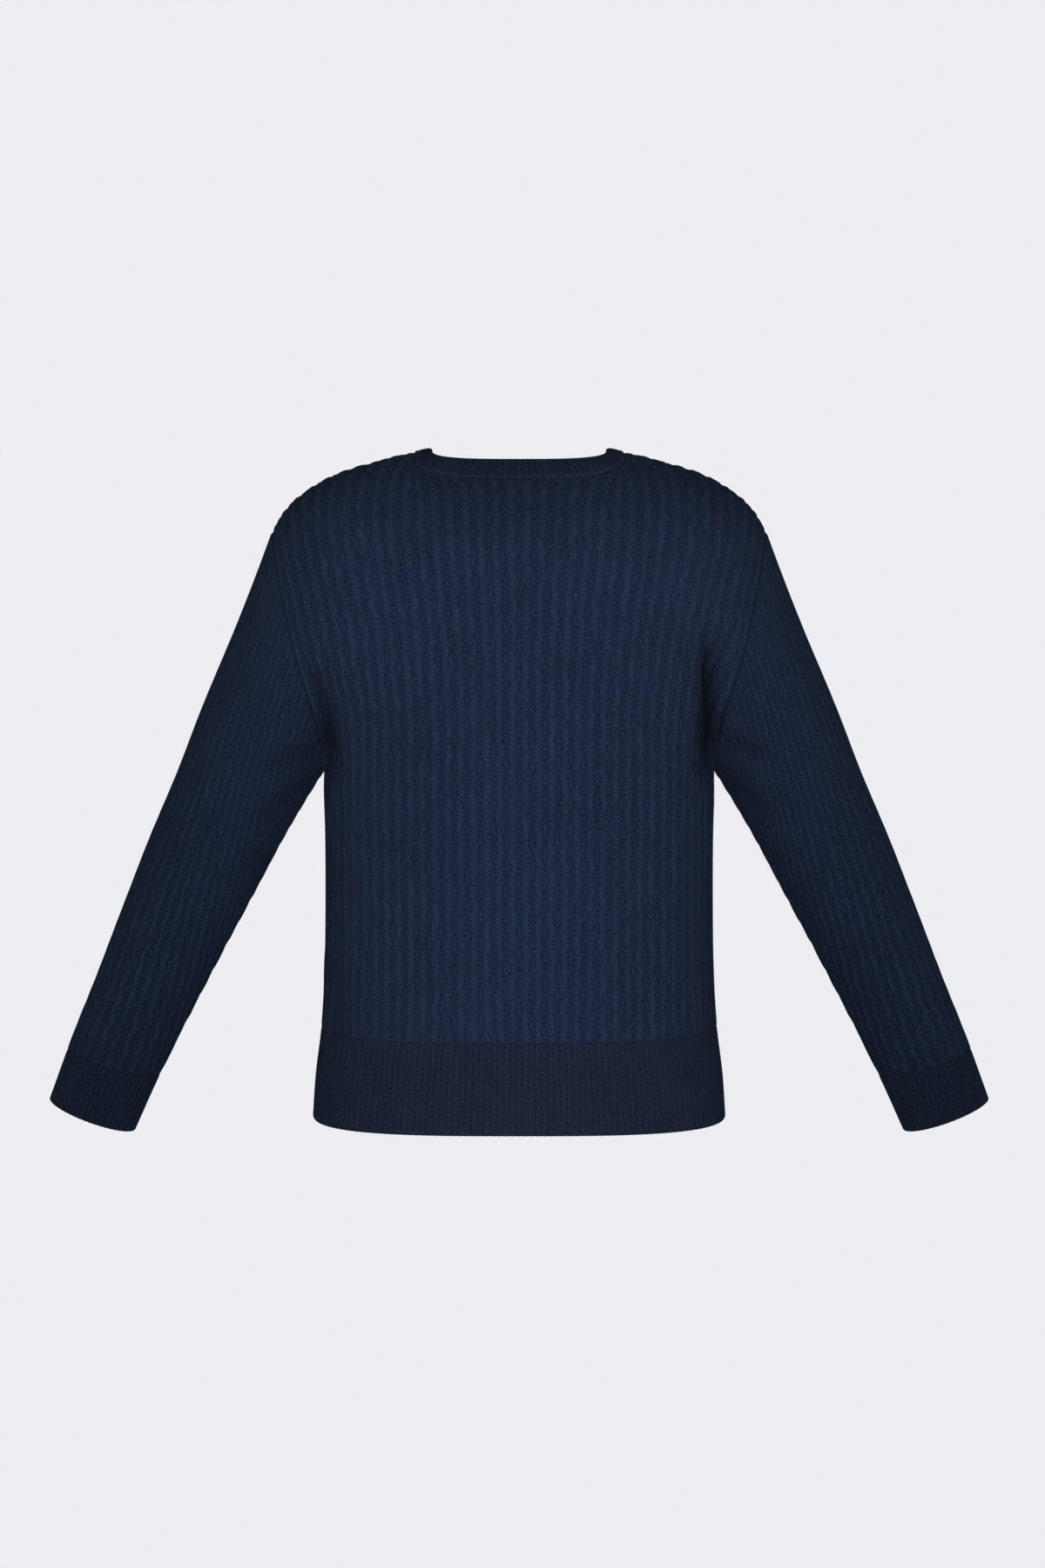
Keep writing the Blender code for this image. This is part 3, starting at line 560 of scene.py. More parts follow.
def neckband_edge(line):
    """The neckband's free edge over points of the neckline."""
    x, y, z = line.T
    narrowed = BAND_X + (np.abs(x) - BAND_X) * (NECKBAND_X - BAND_X) / (NECK_X - BAND_X)
    edge_x = np.where(y > 0, x * NECKBAND_X / NECK_X, np.sign(x) * narrowed)
    back = (NECK_Z - z) / BACK_NECK_DROP
    front = (NECK_Z - z) / FRONT_NECK_DROP
    edge_z = -np.where(y > 0, NECKBAND_BACK_DROP * back, NECKBAND_FRONT_DROP * front)
    return np.stack([edge_x, y * NECKBAND_LEAN, edge_z], axis=1)


def armhole_inward(points):
    """Directions that the armhole's two rims share, towards the middle of the armhole."""
    middle = np.array([(ARMHOLE[0].x + ARMHOLE[-1].x) / 2, 0.0, (ARMHOLE[0].z + ARMHOLE[-1].z) / 2])
    away = np.array(points)
    away[..., 0] = np.abs(away[..., 0])
    lean = unit(middle - away)
    lean[..., 0] *= np.sign(points[..., 0])
    return lean


def at_side_seam(points, column):
    """Whether a column is at a side seam, and not beside the button bands."""
    return abs(points[column, 0, 0]) > BAND_X + 0.001


def panel_inward(points):
    """Directions into the garment, with each seam's rim turned into the seam."""
    inward = turned_in(inward_normals(points), points)
    below = points.shape[1] - 1 - ARMHOLE_ROWS
    inward[:, 0] = flattened(inward[:, 0], 2)
    on_neck = np.abs(points[:, -1, 0]) <= NECK_X + 1e-6
    shoulder = flattened(inward[:, -1] - [0.0, 0.0, SHOULDER_LEAN], 1)
    inward[:, -1] = np.where(on_neck[:, None], neckline_inward(points[:, -1]), shoulder)
    for column in (0, -1):
        if at_side_seam(points, column):
            inward[column, :below] = flattened(inward[column, :below], 1)
            inward[column, below:] = armhole_inward(points[column, below:])
        else:
            inward[column, :-1] = flattened(inward[column, :-1], 0)
    return inward


CHEST_WIDTHS = {face: chest_widths(face) for face in ("back", "front")}
BACK_NECK_Y = float(torso_depth(0.0, NECK_Z - BACK_NECK_DROP, "back"))
FRONT_NECK_Y = float(torso_depth(0.0, NECK_Z - FRONT_NECK_DROP, "front"))


# ---- shape of a sleeve


def tube(turn, down):
    """Outer face of the left sleeve at an angle from its top and a distance down."""
    across = curve(SLEEVE, "down", "out", down)
    across = across + curve(SLEEVE, "down", "half_width", down) * np.cos(turn)
    back = curve(SLEEVE, "down", "half_depth", down) * np.sin(turn)
    back = back - curve(SLEEVE, "down", "forward", down)
    places = [np.multiply.outer(np.broadcast_to(v, np.shape(across)), axis) for v, axis in
              ((down, DOWN), (across, OUT), (back, BACKWARD))]
    return sum(places)


def slanted(down, slant, turn):
    """Distance down the sleeve of a ring that is lower on the outside of the arm."""
    return down + slant * np.cos(turn)


def sleeve_grid():
    """Points of the left sleeve round from its underarm seam and down, with angle and distance."""
    turns = np.linspace(-pi, pi, SLEEVE_RIBS * RIB_STEP + 1)
    start = []
    for turn in turns:
        x, y, z = armhole_point(abs(turn))
        start.append([x + ARMHOLE_SEAM, y if turn > 0 else -y, z])
    start = np.array(start)
    first = start @ DOWN
    lift = start - tube(turns, first)
    rows = INNER_RUN * round((CUFF_DOWN - first.min()) / (INNER_RUN * ROW))
    shares = np.linspace(0.0, 1.0, rows + 1)
    last = slanted(CUFF_DOWN, CUFF_SLANT, turns) - SEAM / 2
    down = first[:, None] + (last - first)[:, None] * shares
    turn = np.broadcast_to(turns[:, None], down.shape)
    fade = np.clip(1.0 - (down - first[:, None]) / SLEEVE_JOIN, 0.0, 1.0) ** 2
    return tube(turn, down) + lift[:, None] * fade[..., None], turn, down


# ---- knit relief and creases


def wobble(across, along, size):
    """A slow unevenness of the knit, from a few waves that never line up."""
    return size * (
        np.sin(61.0 * across + 37.0 * along)
        + np.sin(-43.0 * across + 83.0 * along + 1.3)
        + np.sin(151.0 * across + 19.0 * along + 0.7)
    )


def swell(share):
    """Rounded section of a rib, 1 on its crest and 0 from its edge on."""
    return np.clip(1.0 - share**2, 0.0, 1.0) ** 0.8


def wavy_ribs(across, along, knit):
    """Relief of ribs that swing apart and together, with a fine line inside each cell.

    Across, in pitches, ribs lie at the halves and lines at the whole numbers, and neighbours swing
    opposite ways.
    """
    place = across / knit.rib_pitch
    swing = np.sin(2 * pi * along / knit.cell)
    bent = place - knit.wave / knit.rib_pitch * swing * np.sin(pi * place)
    from_rib = (bent - np.floor(bent) - 0.5) * knit.rib_pitch
    from_line = (place - np.round(place)) * knit.rib_pitch
    opened = 0.5 + 0.5 * swing * np.cos(pi * place)
    line = LINE_TALL * opened * swell(from_line / LINE_WIDE)
    return np.maximum(swell(from_rib / knit.rib_width), line)


def fine_ribs(across, knit):
    """Relief of a one-by-one rib."""
    return (0.5 + 0.5 * np.cos(2 * pi * across / knit.welt_pitch)) ** 1.3


def edge_share(distance):
    """0 on a seam, 1 away from it."""
    share = np.clip(distance / SEAM_SOFT, 0.0, 1.0)
    return share * share * (3.0 - 2.0 * share)


def trough(a, b, start, end, wide, sharp=1.0):
    """Depth from 0 to 1 of a soft crease between two points of a plane."""
    run = (end[0] - start[0], end[1] - start[1])
    long = run[0] ** 2 + run[1] ** 2
    share = np.clip(((a - start[0]) * run[0] + (b - start[1]) * run[1]) / long, 0.0, 1.0)
    off = np.hypot(a - start[0] - share * run[0], b - start[1] - share * run[1])
    body = (1.0 - np.abs(2.0 * share - 1.0) ** 3) ** 2
    inner = np.abs(a) < np.abs(start[0] + share * run[0])
    return np.exp(-((off / np.where(inner, wide * sharp, wide)) ** 2)) * body


def creased(points, face):
    """A panel's points pressed in along its creases, which die away before its side seams, and
    the shade painted into the yarn's colour deep in them and round the underarms.
    """
    run = lengths(points, 0)
    fade = np.clip(np.minimum(run, run[-1] - run) / FOLD_FADE, 0.0, 1.0) ** 2
    pressed = np.zeros(points.shape[:2])
    for fold in FOLDS:
        if fold.face == face:
            start, end = (fold.x0, fold.z0), (fold.x1, fold.z1)
            shape = trough(points[..., 0], points[..., 2], start, end, fold.wide, fold.sharp)
            pressed += fold.deep * shape
    pressed *= fade
    # Shade painted into the yarn's colour deep in the creases and round the underarm
    x, z = np.abs(points[..., 0]), points[..., 2]
    near = np.hypot((x - ARMHOLE[0].x) / ARMPIT_WIDE, (z - UNDERARM_Z - ARMPIT_UP) / ARMPIT_UP)
    armpit_painted_shade = ARMPIT_PAINTED_SHADE * np.clip(1.0 - near, 0.0, 1.0)
    dark = np.clip(painted_crease_shade(pressed) + armpit_painted_shade, 0.0, 1.0)
    return points + panel_inward(points) * pressed[..., None], dark


def painted_crease_shade(pressed):
    """Painted shade of a crease, from 0 to 1: how far the light is kept out of it."""
    return np.clip(pressed / FOLD_DARK, 0.0, 1.0) ** 1.3


def sleeve_folds(turn, down, side):
    """How far a sleeve's creases push its points inward."""
    girth = curve(SLEEVE, "down", "half_depth", down)
    total = np.zeros(turn.shape)
    angle = np.mod(turn, 2 * pi)
    for fold in CREASES:
        if fold.side == side:
            start = (radians(fold.turn0), fold.down0)
            end = (radians(fold.turn1), fold.down1)
            flat = (start[0] * ARM_RADIUS, start[1]), (end[0] * ARM_RADIUS, end[1])
            total += fold.deep * trough(angle * ARM_RADIUS, down, *flat, fold.wide)
    return total * np.clip(girth / ARM_RADIUS, 0.6, 1.2)


# ---- meshes


def grid(mesh, points, cloth):
    """A grid of faces through the points, and its vertices in columns."""
    columns = points.shape[0] - 1
    rows = points.shape[1] - 1
    made = bmesh.ops.create_grid(mesh, x_segments=columns, y_segments=rows, size=0.5)
    layer = mesh.verts.layers.float_vector["cloth"]
    # Shade painted into the colour, or a painted highlight where negative
    dark = mesh.verts.layers.float["dark"]
    places = [[None] * (rows + 1) for _ in range(columns + 1)]
    for vertex in made["verts"]:
        column = round((vertex.co.x + 0.5) * columns)
        row = round((vertex.co.y + 0.5) * rows)
        places[column][row] = vertex
        vertex.co = points[column, row]
        vertex[layer] = cloth[column, row, :3]
        vertex[dark] = cloth[column, row, 3]
    return places


def rim(mesh, outer, inner):
    """Faces from an outer edge to an inner one with as many points or fewer."""
    run = (len(outer) - 1) // (len(inner) - 1)
    for i in range(len(inner) - 1):
        mesh.faces.new(outer[i * run : (i + 1) * run + 1] + [inner[i + 1], inner[i]])


def rolled(points, inward, row):
    """Rows that round a free edge on its way from the outer face to the inner one."""
    beyond = unit(points[:, row] - points[:, 1 if row == 0 else -2])
    rows = []
    for i in range(1, EDGE_ROLL):
        angle = pi * i / EDGE_ROLL
        sink = inward[:, row] * WALL / 2 * (1.0 - cos(angle))
        rows.append(points[:, row] + sink + beyond * WALL / 2 * sin(angle))
    return np.stack(rows, axis=1)


def add_wall(name, points, inward, cloth, raised, finish, free=()):
    """A closed knitted wall: relief on its outer face, plain inside, its free edges rounded."""
    outer = points - inward * raised[..., None]
    rows = points.shape[1] - 1
    if "end" in free:
        roll = rolled(outer, inward, -1)
        outer = np.concatenate([outer, roll], axis=1)
        cloth = np.concatenate([cloth, np.repeat(cloth[:, -1:], roll.shape[1], axis=1)], axis=1)
    if "start" in free:
        roll = rolled(outer, inward, 0)[:, ::-1]
        outer = np.concatenate([roll, outer], axis=1)
        cloth = np.concatenate([np.repeat(cloth[:, :1], roll.shape[1], axis=1), cloth], axis=1)
    first = EDGE_ROLL - 1 if "start" in free else 0
    kept = slice(first, first + rows + 1)
    mesh = bmesh.new()
    mesh.verts.layers.float_vector.new("cloth")
    mesh.verts.layers.float.new("dark")
    faces = grid(mesh, outer, cloth)
    inner_cloth = cloth[:, kept][:, ::INNER_RUN] * [1.0, 1.0, 0.0, 1.0]
    lining = grid(mesh, (points + inward * WALL)[:, ::INNER_RUN], inner_cloth)
    rim(mesh, [c[0] for c in faces], [c[0] for c in lining])
    rim(mesh, [c[-1] for c in faces], [c[-1] for c in lining])
    for column in (0, -1):
        side = faces[column]
        body = side[kept]
        if first:
            mesh.faces.new([side[0], *side[1 : first + 1], lining[column][0]])
        if len(side) > first + rows + 1:
            mesh.faces.new([*side[first + rows :], lining[column][-1]])
        rim(mesh, body, lining[column])
    bmesh.ops.recalc_face_normals(mesh, faces=mesh.faces)
    return add_object(name, mesh, finish)


def add_object(name, mesh, finish):
    data = bpy.data.meshes.new(name)
    mesh.to_mesh(data)
    mesh.free()
    data.shade_smooth()
    data.set_sharp_from_angle(angle=ROUND_TO)
    data.materials.append(finish)
    made = bpy.data.objects.new(name, data)
    bpy.context.scene.collection.objects.link(made)
    return made


def dress(piece, node):
    """Puts a piece in the place of its CAD node."""
    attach(piece, "root")
    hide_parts(node)


def cloth_of(across, along, soft, dark=0.0):
    """The attributes of a piece: its cloth vector and its painted shade, or painted highlight where
    negative, point by point.
    """
    return np.stack([across, along, soft, np.broadcast_to(dark, soft.shape)], axis=-1)


# ---- materials


class Socket:
    """A shader socket that takes part in Python expressions as Math nodes."""

    def __init__(self, tree, link):
        self.tree = tree
        self.link = link

    def node(self, kind, settings=(), out=0, **sockets):
        """A new node of a kind with its settings, then its sockets by name or number, as in _0."""
        made = self.tree.nodes.new(kind)
        for key, value in dict(settings).items():
            setattr(made, key, value)
        for key, value in sockets.items():
            socket = made.inputs[int(key[1:]) if key.startswith("_") else key.replace("_", " ")]
            if isinstance(value, Socket):
                self.tree.links.new(value.link, socket)
            else:
                socket.default_value = value
        return Socket(self.tree, made.outputs[out])

    def feed(self, shader, name):
        """Links this socket to an input of a shader."""
        self.tree.links.new(self.link, shader.inputs[name])

    def math(self, operation, other=0.0, clamp=False):
        return self.node(
            "ShaderNodeMath", {"operation": operation, "use_clamp": clamp}, _0=self, _1=other
        )

    def __add__(self, other):
        return self.math("ADD", other)

    def __sub__(self, other):
        return self.math("SUBTRACT", other)

    def __mul__(self, other):
        return self.math("MULTIPLY", other)

    def __truediv__(self, other):
        return self.math("DIVIDE", other)

    def __pow__(self, other):
        return self.math("POWER", other)

    def __rsub__(self, other):
        return self.node("ShaderNodeMath", {"operation": "SUBTRACT"}, _0=other, _1=self)

    __radd__ = __add__
    __rmul__ = __mul__


def mix(factor, first, second):
    """One colour passing into another."""
    first = (*first, 1.0) if not isinstance(first, Socket) else first
    second = (*second, 1.0) if not isinstance(second, Socket) else second
    settings = {"data_type": "RGBA"}
    return factor.node("ShaderNodeMix", settings, out=2, _0=factor, _6=first, _7=second)


def new_finish(name):
    """An empty material, with its shader and a socket to start expressions from."""
    made = bpy.data.materials.new(name)
    made.use_nodes = True
    surface = made.node_tree.nodes["Principled BSDF"]
    return made, surface, Socket(made.node_tree, None)


def flat_noise(start, across, along, wide, tall, detail):
    """Noise laid in the cloth, with specks of a width and a height."""
    spread = start.node("ShaderNodeCombineXYZ", _0=across / wide, _1=along / tall)
    return start.node(
        "ShaderNodeTexNoise", Vector=spread, Scale=1.0, Detail=detail, Roughness=0.6
    )


def stitches(start, across, along, knit):
    """Rows of V-shaped stitches: how high the yarn stands, and how pale each stitch is."""
    slow = flat_noise(start, across, along, *DRIFT_SIZE, 2.0)
    drift = (slow - 0.5) * DRIFT
    wales = (across + drift) / knit.stitch_width
    leg = (wales.math("FRACT") - 0.5).math("ABSOLUTE") * 2.0
    rows = (along + drift) / knit.stitch_height + leg * 0.5
    strand = (rows.math("FRACT") * pi).math("SINE") ** 0.7
    arch = 1.0 - ((leg - 0.5) * 2.0).math("ABSOLUTE") ** 2.2
    pale = flat_noise(start, across, along, knit.stitch_width * 0.8, knit.stitch_height, 2.0)
    return strand * (arch * 0.75 + 0.25), pale


def wavy_relief(across, along, knit):
    """The wavy ribs again, for the finer steps between the mesh's points."""
    place = across / knit.rib_pitch
    swing = (along * (2 * pi / knit.cell)).math("SINE")
    bent = place - swing * (place * pi).math("SINE") * (knit.wave / knit.rib_pitch)
    from_rib = (bent.math("FRACT") - 0.5) * (knit.rib_pitch / knit.rib_width)
    rib = (1.0 - from_rib * from_rib).math("MAXIMUM", 0.0)
    from_line = ((place + 0.5).math("FRACT") - 0.5) * (knit.rib_pitch / LINE_WIDE)
    opened = swing * (place * pi).math("COSINE") * 0.5 + 0.5
    line = (1.0 - from_line * from_line).math("MAXIMUM", 0.0) * opened * LINE_TALL
    return rib.math("MAXIMUM", line)


def fine_relief(across, knit):
    """The fine ribs again."""
    return (across * (2 * pi / knit.welt_pitch)).math("COSINE") * 0.5 + 0.5


def yarn_finish(name, crest, shaded_trough_colour, knit, wavy):
    """Soft yarn in rows of stitches, paler on the crests of the relief: shade is painted into its
    colour in the troughs and between the strands, and by the "dark" attribute in creases and
    underarms, with a painted highlight along the linking stitches.
    """
    made, surface, start = new_finish(name)
    cloth = start.node("ShaderNodeAttribute", {"attribute_name": "cloth"}, out=1)
    across, along, soft = [cloth.node("ShaderNodeSeparateXYZ", out=i, _0=cloth) for i in range(3)]
    bend = flat_noise(start, across, along, *BEND_SIZE, 1.0) - 0.5
    fray = flat_noise(start, across, along, *FRAY_SIZE, 2.0) - 0.5
    sunk = flat_noise(start, across, along, *SUNK_SIZE, 1.0) - 0.5
    moved = across + bend * (BEND_WAVY if wavy else BEND_FINE) + fray * FRAY
    ribs = wavy_relief(moved, along, knit) if wavy else fine_relief(moved, knit)
    relief = ribs * soft
    stitch, pale = stitches(start, across, along, knit)
    place = start.node("ShaderNodeTexCoord", out=3)
    cloud = start.node("ShaderNodeTexNoise", Vector=place, Scale=CLOUD_SCALE, Detail=3.0)
    fluff = start.node("ShaderNodeTexNoise", Vector=place, Scale=FLUFF_SCALE, Detail=3.0)
    # Painted shade in the troughs of the relief and between the strands of the stitches, with paler
    # stitches at random
    painted_relief_shade_and_specks = relief * (RIB_TONE + sunk * SUNK_TONE) + stitch * STITCH_TONE + (pale - 0.5) * PALE_TONE
    tone = painted_relief_shade_and_specks + (cloud - 0.5) * CLOUD_TONE + (fluff - 0.5) * FLUFF_TONE
    colour = mix(tone.math("ADD", BASE_TONE, clamp=True), shaded_trough_colour, crest)
    # Shade painted into the colour in creases and underarms, and a painted highlight where negative
    dark = start.node("ShaderNodeAttribute", {"attribute_name": "dark"}, out=2)
    painted_shading_scale = 1.0 - dark * DARKEST
    colour = start.node("ShaderNodeVectorMath", {"operation": "SCALE"}, _0=colour, _3=painted_shading_scale)
    height = relief * RIB_BUMP + stitch * STITCH_BUMP + pale * PALE_BUMP + fluff * FLUFF_BUMP
    bump = start.node("ShaderNodeBump", Height=height, Strength=0.8, Distance=1.0)
    colour.feed(surface, "Base Color")
    bump.feed(surface, "Normal")
    (YARN_ROUGH - relief * CREST_SMOOTHER).feed(surface, "Roughness")
    surface.inputs["Specular IOR Level"].default_value = 0.12
    surface.inputs["Sheen Weight"].default_value = 0.04
    surface.inputs["Sheen Roughness"].default_value = 0.45
    surface.inputs["Sheen Tint"].default_value = (0.30, 0.46, 0.80, 1.0)
    return made


def button_finish(knit):
    """Dyed resin: dark, clouded a little and half polished."""
    made, surface, start = new_finish("navy resin")
    place = start.node("ShaderNodeTexCoord", out=3)
    cloud = start.node("ShaderNodeTexNoise", Vector=place, Scale=240.0, Detail=4.0, Distortion=1.5)
    pale = tuple(3.0 * part for part in knit.button)
    mix(cloud**2.0, knit.button, pale).feed(surface, "Base Color")
    (cloud * 0.10 + 0.42).feed(surface, "Roughness")
    surface.inputs["Specular IOR Level"].default_value = 0.25
    return made


FINISHES = {}


def finish(kind):
    """The materials, each made once."""
    knit = bpy.context.scene.cardigan_knit
    if kind not in FINISHES:
        welt = knit.welt_crest, knit.welt_trough
        if kind == "body":
            FINISHES[kind] = yarn_finish("navy wavy rib", knit.crest, knit.trough, knit, True)
        elif kind == "welt":
            FINISHES[kind] = yarn_finish("navy fine rib", *welt, knit, False)
        elif kind == "neck":
            # Painted shade: the neckband takes a darker copy of the fine-rib yarn
            darker = [tuple(NECK_PAINTED_SHADE * part for part in colour) for colour in welt]
            FINISHES[kind] = yarn_finish("navy neckband", *darker, knit, False)
        else:
            FINISHES[kind] = button_finish(knit)
    return FINISHES[kind]


# ---- pieces


def stretch(half_widths):
    """How the knit is drawn out above the underarm, where its edge ribs run along the armhole."""
    cut = len(half_widths) - 1 - ARMHOLE_ROWS + CUT_ROWS
    kept = np.array(half_widths)
    kept[cut:] = kept[cut]
    return kept / half_widths


def panel_cloth(points, knit, whole, dark):
    """Attribute and height of a panel's wavy ribs, for a whole panel or one from its middle out."""
    along = lengths(points, 1)
    column = lengths(points, 0)
    middle = column[len(column) // 2] if whole else column[0]
    across = (column - middle) * stretch(column[-1] - middle)
    seam = np.minimum(column, column[-1:] - column)
    return knitted(across, along, np.minimum(seam, along[:, -1:] - along), knit, dark)


def knitted(across, along, seam, knit, dark):
    """Attribute and height of uneven wavy ribs that die away and sink towards the seams."""
    soft = edge_share(seam)
    uneven = across + wobble(across, along, 0.00022), along + wobble(along, across, 0.0007)
    raised = wavy_ribs(*uneven, knit) * knit.rib_height * soft - SEAM_DIP * (1.0 - soft)
    return cloth_of(*uneven, soft, dark), raised


def add_panel(name, points, face, knit):
    points, dark = creased(points, face)
    cloth, raised = panel_cloth(points, knit, face == "back", dark)
    return add_wall(name, points, panel_inward(points), cloth, raised, finish("body"))


class CARDIGAN_OT_back(bpy.types.Operator):
    """Knit the back, from the hem rib to the shoulder seams"""

    bl_idname = "cardigan.back"
    bl_label = "Back"

    def execute(self, context):
        knit = context.scene.cardigan_knit
        steps = np.linspace(0.0, 1.0, RIBS_BACK * RIB_STEP // 2 + 1)
        points = both_halves(half_panel("back", 0.0, steps))
        back = add_panel("back_panel", points, "back", knit)
        dress(back, "back")
        return {"FINISHED"}


class CARDIGAN_OT_fronts(bpy.types.Operator):
    """Knit both fronts, from the hem ribs to the shoulder seams"""

    bl_idname = "cardigan.fronts"
    bl_label = "Fronts"

    def execute(self, context):
        knit = context.scene.cardigan_knit
        steps = np.linspace(0.0, 1.0, RIBS_FRONT * RIB_STEP + 1)
        half = half_panel("front", BAND_X, steps)
        for side, points in (("left", half), ("right", mirrored(half))):
            front = add_panel(f"front_panel_{side}", points, "front", knit)
            dress(front, f"front_{side}")
        return {"FINISHED"}


def welt_points(face, first_x, count):
    """Points of half a hem rib, from the middle to the side seam and from the hem up."""
    steps = np.linspace(0.0, 1.0, count + 1)
    heights = np.linspace(HEM_Z, WELT_Z - SEAM / 2, HEM_ROWS)
    rows = [torso_row(z, face, first_x, steps) for z in heights]
    return on_face(np.stack(rows, axis=1), face)


def add_rib(name, points, inward, knit, free, kind="welt", linked=False):
    """A fine-ribbed wall, with ribs from its first row to its last, and linking stitches if asked."""
    columns = points.shape[0] - 1
    across = np.broadcast_to(
        (knit.welt_pitch / WELT_STEP * np.arange(columns + 1))[:, None], points.shape[:2]
    )
    along = lengths(points, 1)
    soft = WELT_SOFT + (1.0 - WELT_SOFT) * edge_share(along[:, -1:] - along)
    raised = fine_ribs(across, knit) * knit.welt_height * soft
    dark = 0.0
    if linked:
        link = np.clip(1.0 - ((along - LINK_UP) / LINK_WIDE) ** 2, 0.0, 1.0)
        loops = 0.55 + 0.45 * np.cos(2 * pi * across / LINK_STEP)
        raised = raised * (1.0 - link) + LINK_TALL * link * loops
        # Painted highlight along the linking stitches, as a negative shade
        dark = -LINK_PAINTED_HIGHLIGHT * link * loops
    cloth = cloth_of(across, along, soft, dark)
    return add_wall(name, points, inward, cloth, raised, finish(kind), free)


class CARDIGAN_OT_hem(bpy.types.Operator):
    """Knit the hem's ribs, one on the back and one on each front"""

    bl_idname = "cardigan.hem"
    bl_label = "Hem ribs"

    def execute(self, context):
        knit = context.scene.cardigan_knit
        back = both_halves(welt_points("back", 0.0, HEM_RIBS_BACK * WELT_STEP))
        front = welt_points("front", BAND_X, HEM_RIBS_FRONT * WELT_STEP)
        hems = (
            ("hem_rib_back", "hem_back", back, (0.48, 0.081)),
            ("hem_rib_left", "hem_front_left", front, (0.22, 0.081)),
            ("hem_rib_right", "hem_front_right", mirrored(front), (0.22, 0.081)),
        )
        for name, node, points, flat in hems:
            inward = flattened(turned_in(inward_normals(points), points), 2)
            for column in (0, -1):
                axis = 1 if at_side_seam(points, column) else 0
                inward[column] = flattened(inward[column], axis)
            hem = add_rib(name, points, inward, knit, ("start",))
            dress(hem, node)
        return {"FINISHED"}


def tube_inward(points):
    """Directions into a sleeve or cuff."""
    inward = inward_normals(points, closed=True)
    middle = points[:-1].mean(axis=0)
    if np.sum(inward[0, -1] * (middle[-1] - points[0, -1])) < 0:
        inward = -inward
    inward[:, -1] = unit(inward[:, -1] - DOWN * (inward[:, -1] @ DOWN)[:, None])
    return inward


def sleeve_inward(points):
    inward = tube_inward(points)
    inward[:, 0] = armhole_inward(points[:, 0])
    return inward


class CARDIGAN_OT_sleeves(bpy.types.Operator):
    """Knit both sleeves, from the armholes to the cuffs"""

    bl_idname = "cardigan.sleeves"
    bl_label = "Sleeves"

    def execute(self, context):
        knit = context.scene.cardigan_knit
        points, turn, down = sleeve_grid()
        inward = sleeve_inward(points)
        run = lengths(points, 0)
        across = run - run[len(run) // 2]
        seam = np.minimum(np.minimum(run, run[-1:] - run), lengths(points, 1))
        fade = np.clip(lengths(points, 1) / FOLD_FADE, 0.0, 1.0) ** 2
        # Shade painted into the yarn's colour along the sleeve's inner edge below the underarm, and
        # deep in its creases
        under = (0.5 - 0.5 * np.cos(turn)) ** ARMPIT_NARROW
        armpit_painted_shade = ARMPIT_PAINTED_SHADE * under * np.exp(-(down - UNDERARM_DOWN) / ARMPIT_LONG)
        for side in ("left", "right"):
            pressed = sleeve_folds(turn, down, side) * fade
            dark = np.clip(painted_crease_shade(pressed) + armpit_painted_shade, 0.0, 1.0)
            cloth, raised = knitted(across, down - down.min(), seam, knit, dark)
            shape = points + inward * pressed[..., None]
            facing = sleeve_inward(shape)
            turned = (shape, facing) if side == "left" else (mirrored(shape), mirrored(facing))
            sleeve = add_wall(f"sleeve_{side}_knit", *turned, cloth, raised, finish("body"))
            dress(sleeve, f"sleeve_{side}")
        return {"FINISHED"}


class CARDIGAN_OT_cuffs(bpy.types.Operator):
    """Knit both cuffs"""

    bl_idname = "cardigan.cuffs"
    bl_label = "Cuffs"

    def execute(self, context):
        knit = context.scene.cardigan_knit
        turns = np.linspace(-pi, pi, CUFF_RIBS * WELT_STEP + 1)
        first = slanted(SLEEVE_END, END_SLANT, turns)
        last = slanted(CUFF_DOWN, CUFF_SLANT, turns) + SEAM / 2
        down = np.linspace(first, last, CUFF_ROWS, axis=1)
        turn = np.broadcast_to(turns[:, None], down.shape)
        points = tube(turn, down)
        inward = tube_inward(points)
        inward = unit(inward - (inward @ DOWN)[..., None] * DOWN)
        for side in ("left", "right"):
            turned = (points, inward) if side == "left" else (mirrored(points), mirrored(inward))
            cuff = add_rib(f"cuff_{side}_rib", *turned, knit, ("start",))
            dress(cuff, f"cuff_{side}")
        return {"FINISHED"}


def neck_loop(count):
    """Evenly spaced points of the neckline from the left front edge round by the back."""
    steps = np.linspace(0.0, 1.0, 401)
    sides = []
    faces = ("front", BAND_X, FRONT_NECK_SHARE), ("back", 0.0, BACK_NECK_SHARE)
    for face, first_x, share in faces:
        x, z = top_edge(first_x, share, steps * share, face)
        sides.append(on_face(np.stack([x, torso_depth(x, z, face), z], axis=1), face))
    front, back = sides
    half = np.concatenate([front[:-1], back[::-1]])
    line = np.concatenate([half, mirrored(half[-2::-1])])
    run = lengths(line, 0)
    at = np.linspace(0.0, run[-1], count + 1)
    return np.stack([np.interp(at, run, line[:, axis]) for axis in range(3)], axis=1)


def neckband_points():
    """Points of the neckband from the left front edge round by the back, and from neckline up."""
    line = neck_loop(NECK_RIBS * WELT_STEP)
    edge = neckband_edge(line)
    start = line + unit(edge - line) * NECKBAND_SEAM
    outward = -neckline_inward(line)
    rows = []
    for share in np.linspace(0.0, 1.0, NECK_ROWS):
        bulge = NECKBAND_BULGE * 4.0 * share * (1.0 - share)
        rows.append(start + (edge - start) * share + outward * bulge)
    return np.stack(rows, axis=1)


